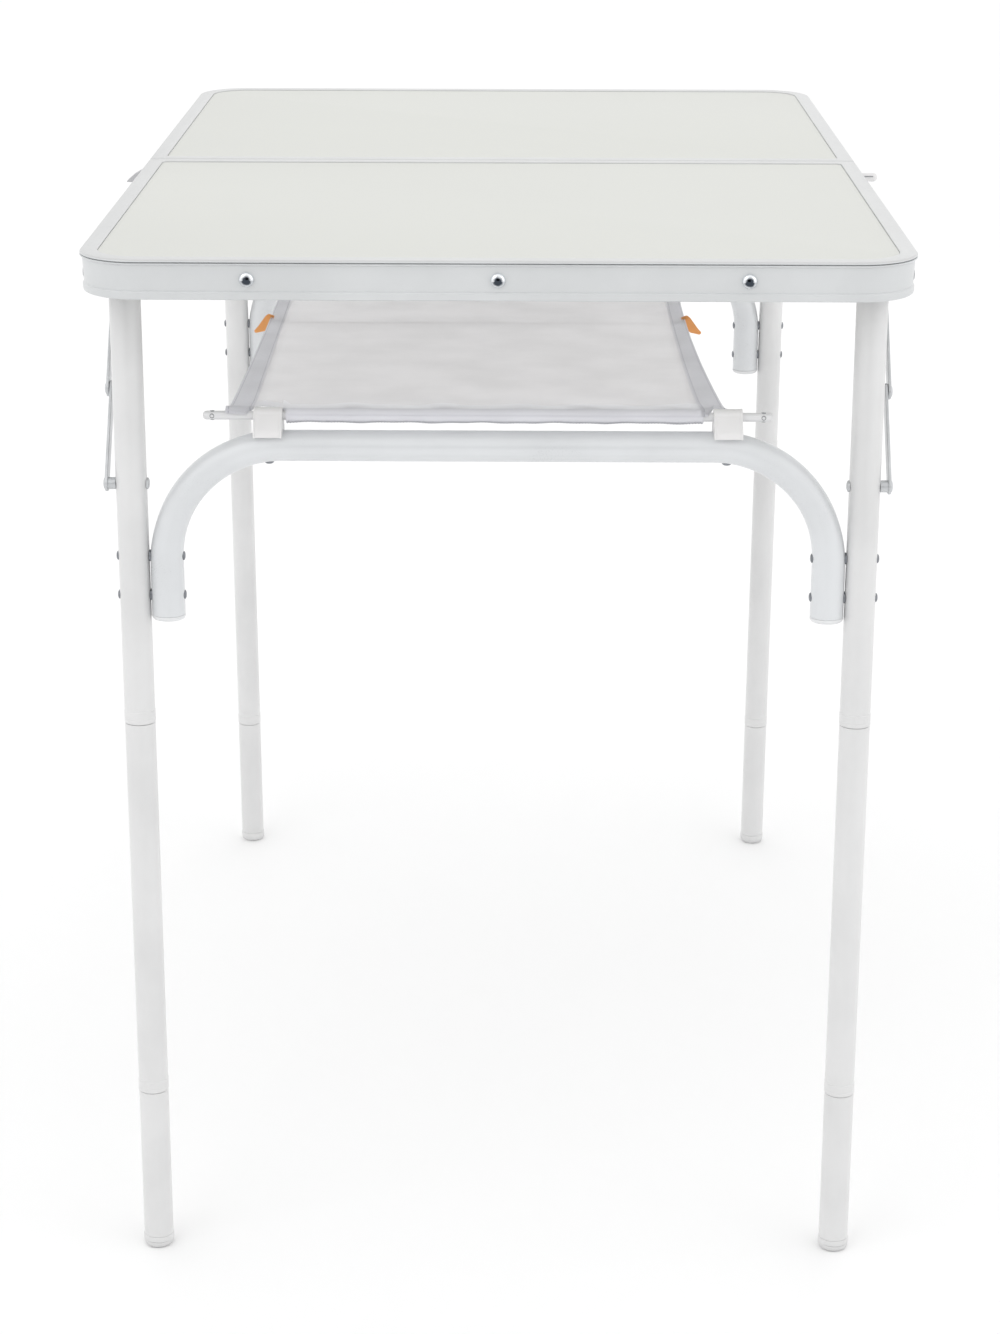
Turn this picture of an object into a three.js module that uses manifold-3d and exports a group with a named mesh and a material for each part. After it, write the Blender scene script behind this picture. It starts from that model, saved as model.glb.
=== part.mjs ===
// Camp kitchen table: a worktop in two hinged halves, two folding leg frames with plug-on leg
// sections, and a net shelf slung between rods on the frames.
// Millimetres, +Z up. X runs across the table and Y along it, with the front end at -Y.
// The origin is on the floor under the middle of the worktop.
import * as THREE from 'three';
import { mergeVertices } from 'three/addons/utils/BufferGeometryUtils.js';
import Module from 'manifold-3d';

const wasm = await Module();
wasm.setup();

// ---------------------------------------------------------------- driving dimensions
const TOP_WIDTH = 600;
const TOP_LENGTH = 900;
const TOP_HEIGHT = 800;
const GAP = 0.3;                 // clearance between neighbouring pieces

// worktop: each half is a panel held in a rim
const RIM_HEIGHT = 29;
const CORNER_RADIUS = 45;        // outer corners
const SEAM_CHAMFER = 3;          // corners beside the seam
const LIP_WIDTH = 13;            // strip of rim seen around the panel
const LIP_THICKNESS = 1.2;
const BEAD_HEIGHT = 3.7;         // rounded band along the top of the rim
const BEAD_DEPTH = 3.5;
const BEAD_ROUNDING = 1.2;
const WEB_INSET = 2;             // flat side of the rim, set back from the bead
const WEB_THICKNESS = 1.5;
const LEDGE_WIDTH = 5.5;         // ledge under the panel's edge
const LEDGE_THICKNESS = 1.5;
const FOOT_BEAD_HEIGHT = 5.5;    // band along the bottom of the rim
const FOOT_BEAD_INSET = 0.8;
const FOOT_BEAD_DEPTH = 5.2;
const PANEL_THICKNESS = 4;       // of the edge that the lip covers
const PANEL_DROP = 0.8;          // the panel's face lies this far below the lip
const STUD_SPACING = 177;        // three studs on the front edge
const STUD_Z = TOP_HEIGHT - 14;
const PEG_REACH = 20;            // side pegs beside the seam
const PEG_Y = -10.6;
const PEG_Z = TOP_HEIGHT - 12;

// leg frames
const LEG_RADIUS = 11.5;
const LEG_WALL = 1.5;
const LEG_X = 270;
const LEG_Y = 399;
const LEG_LEAN = 1.7;            // degrees that the standing legs lean outwards
const PIVOT_Z = TOP_HEIGHT - 18;
const JOINT_Z = [440, 135];      // upper leg to extension, extension to foot section
const COLLAR_HEIGHT = 10;
const COLLAR_RADIUS = 11.9;
const PLUG_LENGTH = 36;
const PLUG_SHOULDER = 14;        // solid end of a section under its plug
const CAP_HEIGHT = 9;
const CAP_RADIUS = 12.2;

// U-bar riveted between the legs of a frame
const BAR_Z = 654;
const BAR_X = 245.5;
const BAR_END_Z = 521;
const BEND_RADIUS = 87;
const RIVET_Z = [570, 540];

// holes that the rivets pass through
const PIVOT_HOLE = 3.5;
const RIVET_HOLE = 2.9;
const SMALL_HOLE = 2.4;          // for studs and pegs

// knuckle stay from each leg to the rim
const STAY_LEG_Z = 625;          // rivet through the leg
const STAY_RIM_Y = 285;          // rivet through the rim
const STAY_RIM_Z = TOP_HEIGHT - 19;
const STAY_LOWER = 76;
const STAY_WIDTH = 12;
const STAY_THICKNESS = 2.2;
const STAY_X = 287;              // inner face of the lower link

// net shelf
const ROD_RADIUS = 3.3;
const ROD_Z = BAR_Z + 22.4;
const ROD_SPAN = [-216, 201];
const CLIP_X = 168;
const CLIP_WIDTH = 21;
const NET_THICKNESS = 1.6;
const NET_LEFT = -199;
const NET_RIGHT = 168;
const NET_WAIST = 12;            // how far the right edge pulls in half-way along
const NET_END_GAP = 9;           // from the rod's centre to the end of the flat net
const NET_SPLIT_Y = 60;          // the middle piece bridges the seam
const TAG_Y = -48;               // middle of the tags along the net's edges
const SLEEVE_SPAN = [-155, 150]; // hem sewn around the rod
const SLEEVE_WALL = 1.4;

// facets around a circle
const TUBE_SIDES = 16;
const BAR_SIDES = 12;
const RIVET_SIDES = 8;
const ROD_SIDES = 12;
const STUD_SIDES = 12;

// ---------------------------------------------------------------- materials
function metal(color, roughness) {
  return new THREE.MeshStandardMaterial({ color, roughness, metalness: 0.85 });
}

function plastic(color, roughness) {
  return new THREE.MeshStandardMaterial({ color, roughness, metalness: 0 });
}

const rimMetal = metal(0xdcdfe0, 0.42);
const legMetal = metal(0xdbdcdd, 0.38);
const barMetal = metal(0xdee0e2, 0.36);
const stayMetal = metal(0xb4b6b8, 0.4);
const rivetMetal = metal(0x8d8f92, 0.45);
const chrome = metal(0xe6e8ea, 0.12);
const panelBoard = plastic(0xe3e4df, 0.55);
const whitePlastic = plastic(0xe9e9e8, 0.5);
const netCloth = plastic(0xd2d3d5, 0.9);
const tagCloth = plastic(0xd8641e, 0.8);

// ---------------------------------------------------------------- helpers
const table = new THREE.Group();

function addPiece(name, solid, material) {
  const mesh = new THREE.Mesh(toGeometry(solid), material);
  mesh.name = name;
  table.add(mesh);
}

function toSolid(geometry) {
  const bare = geometry.clone();
  bare.deleteAttribute('normal');
  bare.deleteAttribute('uv');
  const merged = mergeVertices(bare, 1e-4);
  const triangles = [];
  for (let i = 0; i < merged.index.count; i += 3) {
    const corner = [0, 1, 2].map((k) => merged.index.getX(i + k));
    if (new Set(corner).size === 3) {
      triangles.push(...corner);
    }
  }
  const vertProperties = Float32Array.from(merged.attributes.position.array);
  const triVerts = Uint32Array.from(triangles);
  return new wasm.Manifold(new wasm.Mesh({ numProp: 3, vertProperties, triVerts }));
}

function toGeometry(solid) {
  const { vertProperties, triVerts } = solid.getMesh();
  const geometry = new THREE.BufferGeometry();
  geometry.setAttribute('position', new THREE.BufferAttribute(vertProperties, 3));
  geometry.setIndex(new THREE.BufferAttribute(triVerts, 1));
  geometry.computeVertexNormals();
  return geometry;
}

function join(solids) {
  return solids.reduce((whole, next) => whole.add(next));
}

function cut(solid, tools) {
  return tools.reduce((left, tool) => left.subtract(tool), solid);
}

// A turned solid around Z through x, y: profile is [radius, z] pairs from the bottom up.
function turned(profile, sides, x = 0, y = 0) {
  const bottom = profile[0][1];
  const top = profile[profile.length - 1][1];
  const closed = [[0, bottom], ...profile, [0, top]];
  const points = closed.map(([radius, z]) => new THREE.Vector2(radius, z));
  const geometry = new THREE.LatheGeometry(points, sides);
  geometry.rotateX(Math.PI / 2);
  geometry.translate(x, y, 0);
  return toSolid(geometry);
}

// The same around an axis along X. The profile's second number is then the distance from
// the middle of the table, on the right for side 1 and on the left for side -1.
function turnedAcross(profile, sides, side, y, z) {
  const bottom = profile[0][1];
  const top = profile[profile.length - 1][1];
  const closed = [[0, bottom], ...profile, [0, top]];
  const points = closed.map(([radius, x]) => new THREE.Vector2(radius, x));
  const geometry = new THREE.LatheGeometry(points, sides);
  geometry.rotateX(Math.PI / 2);
  geometry.rotateY((side * Math.PI) / 2);
  geometry.translate(0, y, z);
  return toSolid(geometry);
}

// A cutting cylinder along X from x0 to x1.
function holeAcross(radius, x0, x1, y, z) {
  const geometry = new THREE.CylinderGeometry(radius, radius, x1 - x0, RIVET_SIDES);
  geometry.rotateZ(Math.PI / 2);
  geometry.translate((x0 + x1) / 2, y, z);
  return toSolid(geometry);
}

// A flat outline drawn in Y and Z, given thickness from x0 to x1.
function plateAcross(shape, x0, x1, curveSegments = 4) {
  const depth = Math.abs(x1 - x0);
  const geometry = new THREE.ExtrudeGeometry(shape, { depth, bevelEnabled: false, curveSegments });
  const basis = new THREE.Matrix4().makeBasis(
    new THREE.Vector3(0, 1, 0),
    new THREE.Vector3(0, 0, 1),
    new THREE.Vector3(1, 0, 0),
  );
  geometry.applyMatrix4(basis);
  geometry.translate(Math.min(x0, x1), 0, 0);
  return toSolid(geometry);
}

// A point on a leg's centre line, named by its height before the leg leans.
function onLeg(height) {
  const lean = THREE.MathUtils.degToRad(LEG_LEAN);
  const drop = PIVOT_Z - height;
  return { y: LEG_Y + drop * Math.sin(lean), z: PIVOT_Z - drop * Math.cos(lean) };
}

// Leans an upright piece of a leg frame outwards about the frame's pivot line.
function leaned(solid, end) {
  const atPivot = solid.translate([0, -end * LEG_Y, -PIVOT_Z]);
  return atPivot.rotate([end * LEG_LEAN, 0, 0]).translate([0, end * LEG_Y, PIVOT_Z]);
}

// Everything of the worktop is drawn for the back half, and mirrored for the front one.
function atEnd(solid, end) {
  return end > 0 ? solid : solid.mirror([0, 1, 0]);
}

// ---------------------------------------------------------------- worktop
const HALF_WIDTH = TOP_WIDTH / 2;
const HALF_LENGTH = TOP_LENGTH / 2;
const RIM_BOTTOM = TOP_HEIGHT - RIM_HEIGHT;
const BEAD_BOTTOM = TOP_HEIGHT - BEAD_HEIGHT;
const LIP_BOTTOM = TOP_HEIGHT - LIP_THICKNESS;
const PANEL_EDGE_TOP = LIP_BOTTOM - GAP;
const PANEL_BOTTOM = PANEL_EDGE_TOP - PANEL_THICKNESS;
const WEB_X = HALF_WIDTH - WEB_INSET;
const WEB_Y = HALF_LENGTH - WEB_INSET;

// Outline of the back half, drawn inset from its edge: chamfered at the seam, round outside.
function halfOutline(path, inset) {
  const side = HALF_WIDTH - inset;
  const near = 0.2 + inset;
  const far = HALF_LENGTH - inset;
  const radius = CORNER_RADIUS - inset;
  const quarter = Math.PI / 2;
  path.moveTo(side - SEAM_CHAMFER, near);
  path.lineTo(side, near + SEAM_CHAMFER);
  path.absarc(side - radius, far - radius, radius, 0, quarter, false);
  path.absarc(-side + radius, far - radius, radius, quarter, 2 * quarter, false);
  path.lineTo(-side, near + SEAM_CHAMFER);
  path.lineTo(-side + SEAM_CHAMFER, near);
  path.closePath();
  return path;
}

// One band of the rim between two insets and two heights, with rounded edges if asked.
function rimBand(end, outerInset, innerInset, bottom, top, rounding = 0) {
  const shape = halfOutline(new THREE.Shape(), outerInset);
  shape.holes.push(halfOutline(new THREE.Path(), innerInset));
  const geometry = new THREE.ExtrudeGeometry(shape, {
    depth: top - bottom - 2 * rounding,
    bevelEnabled: rounding > 0,
    bevelThickness: rounding,
    bevelSize: rounding,
    bevelOffset: -rounding,
    bevelSegments: 2,
    curveSegments: 3,
  });
  geometry.translate(0, 0, bottom + rounding);
  return atEnd(toSolid(geometry), end);
}

// The zone of the seam rail: a trapezium along the seam whose ends are the mitres.
function seamZone(end, shift) {
  const depth = 40;
  const over = 10;
  const shape = new THREE.Shape();
  shape.moveTo(-HALF_WIDTH - over, -over);
  shape.lineTo(HALF_WIDTH + over, -over);
  shape.lineTo(HALF_WIDTH - depth, depth);
  shape.lineTo(-HALF_WIDTH + depth, depth);
  shape.closePath();
  const geometry = new THREE.ExtrudeGeometry(shape, {
    depth: RIM_HEIGHT + 2 * over,
    bevelEnabled: false,
  });
  geometry.translate(0, shift, RIM_BOTTOM - over);
  return atEnd(toSolid(geometry), end);
}

// The rim is a bent length around three sides and a straight rail along the seam.
function buildRim(endName, end) {
  const webInner = WEB_INSET + WEB_THICKNESS;
  const ledgeTop = PANEL_BOTTOM - GAP;
  const footInner = FOOT_BEAD_INSET + FOOT_BEAD_DEPTH;
  const footTop = RIM_BOTTOM + FOOT_BEAD_HEIGHT;
  const bands = [
    rimBand(end, 1, LIP_WIDTH, LIP_BOTTOM, TOP_HEIGHT),
    rimBand(end, 0, BEAD_DEPTH, BEAD_BOTTOM, TOP_HEIGHT, BEAD_ROUNDING),
    rimBand(end, WEB_INSET, webInner, RIM_BOTTOM + 1, BEAD_BOTTOM + 1.5),
    rimBand(end, WEB_INSET + 0.5, webInner + LEDGE_WIDTH, ledgeTop - LEDGE_THICKNESS, ledgeTop),
    rimBand(end, FOOT_BEAD_INSET, footInner, RIM_BOTTOM, footTop, 1),
  ];
  const holes = [];
  for (const side of [-1, 1]) {
    const low = side * WEB_X - 5;
    const high = side * WEB_X + 5;
    holes.push(holeAcross(PIVOT_HOLE, low, high, end * LEG_Y, PIVOT_Z));
    holes.push(holeAcross(RIVET_HOLE, low, high, end * STAY_RIM_Y, STAY_RIM_Z));
    if (end < 0) {
      holes.push(holeAcross(SMALL_HOLE, low, high, PEG_Y, PEG_Z));
    }
  }
  if (end < 0) {
    for (const x of STUD_X) {
      holes.push(studHole(x));
    }
  }
  const rim = cut(join(bands), holes);
  addPiece(`${endName}_rim`, rim.subtract(seamZone(end, GAP / 2)), rimMetal);
  addPiece(`${endName}_seam_rail`, rim.intersect(seamZone(end, -GAP / 2)), rimMetal);
}

// A layer of a panel, inset from the half's edge, between two heights.
function panelLayer(end, inset, bottom, top) {
  const shape = halfOutline(new THREE.Shape(), inset);
  const geometry = new THREE.ExtrudeGeometry(shape, {
    depth: top - bottom,
    bevelEnabled: false,
    curveSegments: 3,
  });
  geometry.translate(0, 0, bottom);
  return atEnd(toSolid(geometry), end);
}

// The panel's edge is rebated to pass under the lip; its face fills the space inside the lip.
function buildPanel(endName, end) {
  const edge = panelLayer(end, WEB_INSET + WEB_THICKNESS + GAP, PANEL_BOTTOM, PANEL_EDGE_TOP);
  const face = panelLayer(end, LIP_WIDTH + GAP, PANEL_BOTTOM, TOP_HEIGHT - PANEL_DROP);
  addPiece(`${endName}_panel`, edge.add(face), panelBoard);
}

// Domed studs riveted through the front web.
const STUD_X = [-STUD_SPACING, 0, STUD_SPACING];

function studHole(x) {
  const geometry = new THREE.CylinderGeometry(SMALL_HOLE, SMALL_HOLE, 10, RIVET_SIDES);
  geometry.translate(x, -WEB_Y, STUD_Z);
  return toSolid(geometry);
}

function buildStuds() {
  const face = WEB_Y + 0.2;
  const inside = WEB_Y - WEB_THICKNESS - GAP;
  const profile = [
    [3.5, inside - 1.2], [3.5, inside], [2, inside], [2, face],
    [5.4, face], [5.2, face + 1.2], [4, face + 2.5], [2, face + 3.2],
  ];
  const names = ['left', 'middle', 'right'];
  STUD_X.forEach((x, index) => {
    const closed = [[0, profile[0][1]], ...profile, [0, face + 3.4]];
    const points = closed.map(([radius, y]) => new THREE.Vector2(radius, y));
    const geometry = new THREE.LatheGeometry(points, STUD_SIDES);
    geometry.rotateZ(Math.PI);
    geometry.translate(x, 0, STUD_Z);
    addPiece(`edge_stud_${names[index]}`, toSolid(geometry), chrome);
  });
}

// Short pegs that stand out of the front half's sides beside the seam: a wedge on the left
// and a round rod on the right, each with a rivet through the web.
function buildPegs() {
  const face = WEB_X + 0.2;
  const inside = WEB_X - WEB_THICKNESS - GAP;
  const rivet = [[4, inside - 1.2], [4, inside], [2, inside], [2, face + 2]];
  const wedge = new THREE.Shape();
  wedge.moveTo(-face, PEG_Z - 6);
  wedge.lineTo(-face, PEG_Z + 6);
  wedge.lineTo(-face - PEG_REACH, PEG_Z - 4.5);
  wedge.lineTo(-face - PEG_REACH, PEG_Z - 6);
  wedge.closePath();
  const wedgeDepth = 7;
  const geometry = new THREE.ExtrudeGeometry(wedge, { depth: wedgeDepth, bevelEnabled: false });
  geometry.rotateX(Math.PI / 2);
  geometry.translate(0, PEG_Y + wedgeDepth / 2, 0);
  const left = turnedAcross(rivet, RIVET_SIDES, -1, PEG_Y, PEG_Z);
  addPiece('side_peg_left', left.add(toSolid(geometry)), whitePlastic);
  const rod = [
    ...rivet.slice(0, 3), [2, face], [5, face], [5, face + 2], [3.6, face + 2],
    [3.6, face + PEG_REACH - 2.5], [2.8, face + PEG_REACH - 0.8], [1.4, face + PEG_REACH],
  ];
  addPiece('side_peg_right', turnedAcross(rod, ROD_SIDES, 1, PEG_Y, PEG_Z), whitePlastic);
}

// ---------------------------------------------------------------- legs
const BORE_RADIUS = LEG_RADIUS - LEG_WALL;
const PLUG_RADIUS = BORE_RADIUS - 0.4;

// The lower end of a tube that another section plugs into, with a band above the joint.
function collar(bottom) {
  return [
    [LEG_RADIUS, bottom], [COLLAR_RADIUS, bottom + 0.4],
    [COLLAR_RADIUS, bottom + COLLAR_HEIGHT - 0.4], [LEG_RADIUS, bottom + COLLAR_HEIGHT],
  ];
}

function buildUpperLeg(prefix, x, end) {
  const y = end * LEG_Y;
  const dome = [];
  for (const angle of [30, 60, 80]) {
    const turn = THREE.MathUtils.degToRad(angle);
    dome.push([LEG_RADIUS * Math.cos(turn), PIVOT_Z + LEG_RADIUS * Math.sin(turn)]);
  }
  const outside = [...collar(JOINT_Z[0] + GAP), [LEG_RADIUS, PIVOT_Z], ...dome];
  const bore = [[BORE_RADIUS, JOINT_Z[0] - 1], [BORE_RADIUS, PIVOT_Z - 2]];
  const body = turned(outside, TUBE_SIDES, x, y);
  const low = x - LEG_RADIUS - 2;
  const high = x + LEG_RADIUS + 2;
  const holes = [
    turned(bore, TUBE_SIDES, x, y),
    holeAcross(PIVOT_HOLE, low, high, y, PIVOT_Z - 0.1),
    holeAcross(RIVET_HOLE, low, high, y, STAY_LEG_Z),
    ...RIVET_Z.map((z) => holeAcross(RIVET_HOLE, low, high, y, z)),
  ];
  addPiece(`${prefix}_leg_upper`, leaned(cut(body, holes), end), legMetal);
}

// A plug-on leg section: the plug enters the bore above, its shoulder meets the tube's end.
function buildSection(name, x, end, top, lowerEnd) {
  const y = end * LEG_Y;
  const profile = [
    ...lowerEnd,
    [LEG_RADIUS, top],
    [PLUG_RADIUS, top],
    [PLUG_RADIUS, top + PLUG_LENGTH - 2],
    [PLUG_RADIUS - 2, top + PLUG_LENGTH],
  ];
  const bore = [[BORE_RADIUS, lowerEnd[0][1] - 1], [BORE_RADIUS, top - PLUG_SHOULDER]];
  const section = turned(profile, TUBE_SIDES, x, y).subtract(turned(bore, TUBE_SIDES, x, y));
  addPiece(name, leaned(section, end), legMetal);
}

// The cap's sole stands flat on the floor; its upper part leans with the leg.
function buildFootCap(prefix, x, end) {
  const sole = [[9, 0], [11.3, 0.8], [CAP_RADIUS, 3], [CAP_RADIUS, 5]];
  const upper = [
    [CAP_RADIUS, 3.5], [CAP_RADIUS, CAP_HEIGHT],
    [PLUG_RADIUS, CAP_HEIGHT], [PLUG_RADIUS, CAP_HEIGHT + 20],
  ];
  const flat = turned(sole, TUBE_SIDES, x, end * onLeg(0).y);
  const cap = flat.add(leaned(turned(upper, TUBE_SIDES, x, end * LEG_Y), end));
  addPiece(`${prefix}_foot_cap`, cap, whitePlastic);
}

// The rivet that a leg turns on, with a sleeve between the leg and the rim.
function buildLegPivot(prefix, side, y) {
  const webInside = WEB_X - WEB_THICKNESS - GAP;
  const legInner = LEG_X - LEG_RADIUS - GAP;
  const legOuter = LEG_X + LEG_RADIUS + GAP;
  const profile = [
    [3, legInner - 2], [5, legInner - 1], [5, legInner], [3, legInner],
    [3, legOuter], [5.5, legOuter], [5.5, webInside], [3, webInside],
    [3, WEB_X + 0.2], [5.5, WEB_X + 0.2], [5, WEB_X + 1.4], [2.5, WEB_X + 2],
  ];
  const pivot = turnedAcross(profile, RIVET_SIDES, side, y, PIVOT_Z);
  addPiece(`${prefix}_leg_pivot`, pivot, rivetMetal);
}

// ---------------------------------------------------------------- U-bar and its rivets
function straightTube(radius, from, to) {
  const geometry = new THREE.CylinderGeometry(radius, radius, from.distanceTo(to), BAR_SIDES);
  const along = new THREE.Vector3().subVectors(to, from).normalize();
  const turn = new THREE.Quaternion().setFromUnitVectors(new THREE.Vector3(0, 1, 0), along);
  geometry.applyQuaternion(turn);
  const middle = new THREE.Vector3().addVectors(from, to).multiplyScalar(0.5);
  geometry.translate(middle.x, middle.y, middle.z);
  return toSolid(geometry);
}

// A quarter bend from the vertical end (angle 0) up into the horizontal part.
class QuarterBend extends THREE.Curve {
  constructor(side, y, overlap) {
    super();
    this.side = side;
    this.y = y;
    this.overlap = overlap;
  }

  getPoint(t, target = new THREE.Vector3()) {
    const angle = -this.overlap + t * (Math.PI / 2 + 2 * this.overlap);
    const x = BAR_X - BEND_RADIUS + BEND_RADIUS * Math.cos(angle);
    const z = BAR_Z - BEND_RADIUS + BEND_RADIUS * Math.sin(angle);
    return target.set(this.side * x, this.y, z);
  }
}

function buildUBar(endName, end) {
  const y = end * LEG_Y;
  const section = new THREE.Shape();
  section.absarc(0, 0, LEG_RADIUS, 0, 2 * Math.PI, false);
  const bendTop = BAR_Z - BEND_RADIUS;
  const bendSide = BAR_X - BEND_RADIUS;
  const pieces = [];
  for (const side of [-1, 1]) {
    const bend = new THREE.ExtrudeGeometry(section, {
      steps: 8,
      curveSegments: BAR_SIDES / 2,
      extrudePath: new QuarterBend(side, y, 0.01),
    });
    pieces.push(toSolid(bend));
    const foot = new THREE.Vector3(side * BAR_X, y, BAR_END_Z);
    const knee = new THREE.Vector3(side * BAR_X, y, bendTop);
    pieces.push(straightTube(LEG_RADIUS, foot, knee));
  }
  const left = new THREE.Vector3(-bendSide, y, BAR_Z);
  const right = new THREE.Vector3(bendSide, y, BAR_Z);
  pieces.push(straightTube(LEG_RADIUS, left, right));
  const holes = [];
  for (const side of [-1, 1]) {
    const low = side * BAR_X - LEG_RADIUS - 2;
    const high = side * BAR_X + LEG_RADIUS + 2;
    for (const z of RIVET_Z) {
      holes.push(holeAcross(RIVET_HOLE, low, high, y, z));
    }
  }
  addPiece(`${endName}_u_bar`, leaned(cut(join(pieces), holes), end), barMetal);
}

// A rivet through the U-bar's end and the leg, with a spacer between the two tubes.
function buildFrameRivet(name, side, end, z) {
  const bendBulge = 0.7;
  const barInner = BAR_X - LEG_RADIUS - GAP - bendBulge;
  const barOuter = BAR_X + LEG_RADIUS + GAP;
  const legInner = LEG_X - LEG_RADIUS - GAP;
  const legOuter = LEG_X + LEG_RADIUS + GAP;
  const profile = [
    [2, barInner - 1.8], [4.2, barInner - 0.9], [4.2, barInner], [2.5, barInner],
    [2.5, barOuter], [4.8, barOuter], [4.8, legInner], [2.5, legInner],
    [2.5, legOuter], [4.2, legOuter], [4.2, legOuter + 0.9], [2, legOuter + 1.8],
  ];
  const rivet = turnedAcross(profile, RIVET_SIDES, side, end * LEG_Y, z);
  addPiece(name, leaned(rivet, end), rivetMetal);
}

// ---------------------------------------------------------------- knuckle stays
// Both links lie outside the leg, side by side, and are straight while the leg stands.
const STAY_FOOT = onLeg(STAY_LEG_Z);
const STAY_ANGLE = Math.atan2(STAY_RIM_Z - STAY_FOOT.z, STAY_FOOT.y - STAY_RIM_Y);
const KNUCKLE_Y = STAY_FOOT.y - STAY_LOWER * Math.cos(STAY_ANGLE);
const KNUCKLE_Z = STAY_FOOT.z + STAY_LOWER * Math.sin(STAY_ANGLE);

// A flat bar with round ends between two points of the Y-Z plane.
function linkOutline(y0, z0, y1, z1) {
  const direction = Math.atan2(z1 - z0, y1 - y0);
  const radius = STAY_WIDTH / 2;
  const shape = new THREE.Shape();
  shape.absarc(y0, z0, radius, direction + Math.PI / 2, direction + (3 * Math.PI) / 2, false);
  shape.absarc(y1, z1, radius, direction - Math.PI / 2, direction + Math.PI / 2, false);
  shape.closePath();
  return shape;
}

// Lower link: spacer, bar and a rivet that passes through the leg.
function buildLowerLink(prefix, side, end) {
  const y = end * STAY_FOOT.y;
  const outline = linkOutline(y, STAY_FOOT.z, end * KNUCKLE_Y, KNUCKLE_Z);
  const bar = plateAcross(outline, side * STAY_X, side * (STAY_X + STAY_THICKNESS));
  const legInner = LEG_X - LEG_RADIUS - GAP;
  const legOuter = LEG_X + LEG_RADIUS + GAP;
  const profile = [
    [2, legInner - 1.8], [4.5, legInner - 0.9], [4.5, legInner], [2.5, legInner],
    [2.5, legOuter], [4.5, legOuter], [4.5, STAY_X + 0.5],
  ];
  const rivet = turnedAcross(profile, RIVET_SIDES, side, y, STAY_FOOT.z);
  addPiece(`${prefix}_stay_lower`, bar.add(rivet), stayMetal);
}

// Upper link: bar, knuckle head and a boss whose rivet passes through the rim's web.
function buildUpperLink(prefix, side, end) {
  const y = end * STAY_RIM_Y;
  const inner = STAY_X + STAY_THICKNESS + 0.5;
  const outer = inner + STAY_THICKNESS;
  const webInside = WEB_X - WEB_THICKNESS - GAP;
  const outline = linkOutline(end * KNUCKLE_Y, KNUCKLE_Z, y, STAY_RIM_Z);
  const bar = plateAcross(outline, side * inner, side * outer);
  const boss = [
    [4.5, outer - 0.5], [4.5, webInside], [2.5, webInside], [2.5, WEB_X + 0.2],
    [4, WEB_X + 0.2], [3.6, WEB_X + 1], [2, WEB_X + 1.5],
  ];
  const head = [[4.2, outer - 0.5], [4.2, outer + 0.6], [2, outer + 1.2]];
  const pieces = [
    bar,
    turnedAcross(boss, RIVET_SIDES, side, y, STAY_RIM_Z),
    turnedAcross(head, RIVET_SIDES, side, end * KNUCKLE_Y, KNUCKLE_Z),
  ];
  addPiece(`${prefix}_stay_upper`, join(pieces), stayMetal);
}

// ---------------------------------------------------------------- net shelf
const ROD_LINE = onLeg(ROD_Z);
const NET_END_Y = ROD_LINE.y - NET_END_GAP;

// A rod through two clips; each end of the rod is cross-drilled.
function buildRod(endName, end) {
  const y = end * LEG_Y;
  const [left, right] = ROD_SPAN;
  const profile = [
    [1.4, left], [2.7, left + 1], [ROD_RADIUS, left + 2.6],
    [ROD_RADIUS, right - 2.6], [2.7, right - 1], [1.4, right],
  ];
  const rod = turnedAcross(profile, ROD_SIDES, 1, y, ROD_Z);
  const drills = [left + 7, right - 7].map((x) => {
    const geometry = new THREE.CylinderGeometry(1.2, 1.2, 12, 8);
    geometry.translate(x, y, ROD_Z);
    return toSolid(geometry);
  });
  addPiece(`${endName}_shelf_rod`, leaned(cut(rod, drills), end), whitePlastic);
}

// A saddle clip: it straddles the top of the U-bar and holds the rod above it.
function buildClip(name, x, end) {
  const y = end * LEG_Y;
  const saddleRadius = LEG_RADIUS + GAP;
  const skirtAngle = THREE.MathUtils.degToRad(48);
  const skirtY = 14.5;
  const shoulderZ = BAR_Z + 13;
  const skirtZ = BAR_Z + saddleRadius * Math.sin(skirtAngle);
  const headRadius = 6;
  const shape = new THREE.Shape();
  shape.moveTo(y + saddleRadius * Math.cos(skirtAngle), skirtZ);
  shape.lineTo(y + skirtY, skirtZ);
  shape.lineTo(y + skirtY, shoulderZ);
  shape.absarc(y, ROD_Z, headRadius, 0, Math.PI, false);
  shape.lineTo(y - skirtY, shoulderZ);
  shape.lineTo(y - skirtY, skirtZ);
  shape.absarc(y, BAR_Z, saddleRadius, Math.PI - skirtAngle, skirtAngle, true);
  shape.closePath();
  const bore = new THREE.Path();
  bore.absarc(y, ROD_Z, ROD_RADIUS + 0.4, 0, 2 * Math.PI, true);
  shape.holes.push(bore);
  const clip = plateAcross(shape, x - CLIP_WIDTH / 2, x + CLIP_WIDTH / 2, 5);
  addPiece(name, leaned(clip, end), whitePlastic);
}

function netRightEdge(y) {
  return NET_RIGHT - NET_WAIST * (1 - (Math.abs(y) / NET_END_Y) ** 2);
}

// A flat stretch of net between two places along the table.
function netSheet(y0, y1) {
  const steps = 4;
  const shape = new THREE.Shape();
  shape.moveTo(NET_LEFT, y0);
  for (let i = 0; i <= steps; i += 1) {
    const y = y0 + ((y1 - y0) * i) / steps;
    shape.lineTo(netRightEdge(y), y);
  }
  shape.lineTo(NET_LEFT, y1);
  shape.closePath();
  const geometry = new THREE.ExtrudeGeometry(shape, { depth: NET_THICKNESS, bevelEnabled: false });
  geometry.translate(0, 0, ROD_LINE.z - NET_THICKNESS / 2);
  return toSolid(geometry);
}

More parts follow.
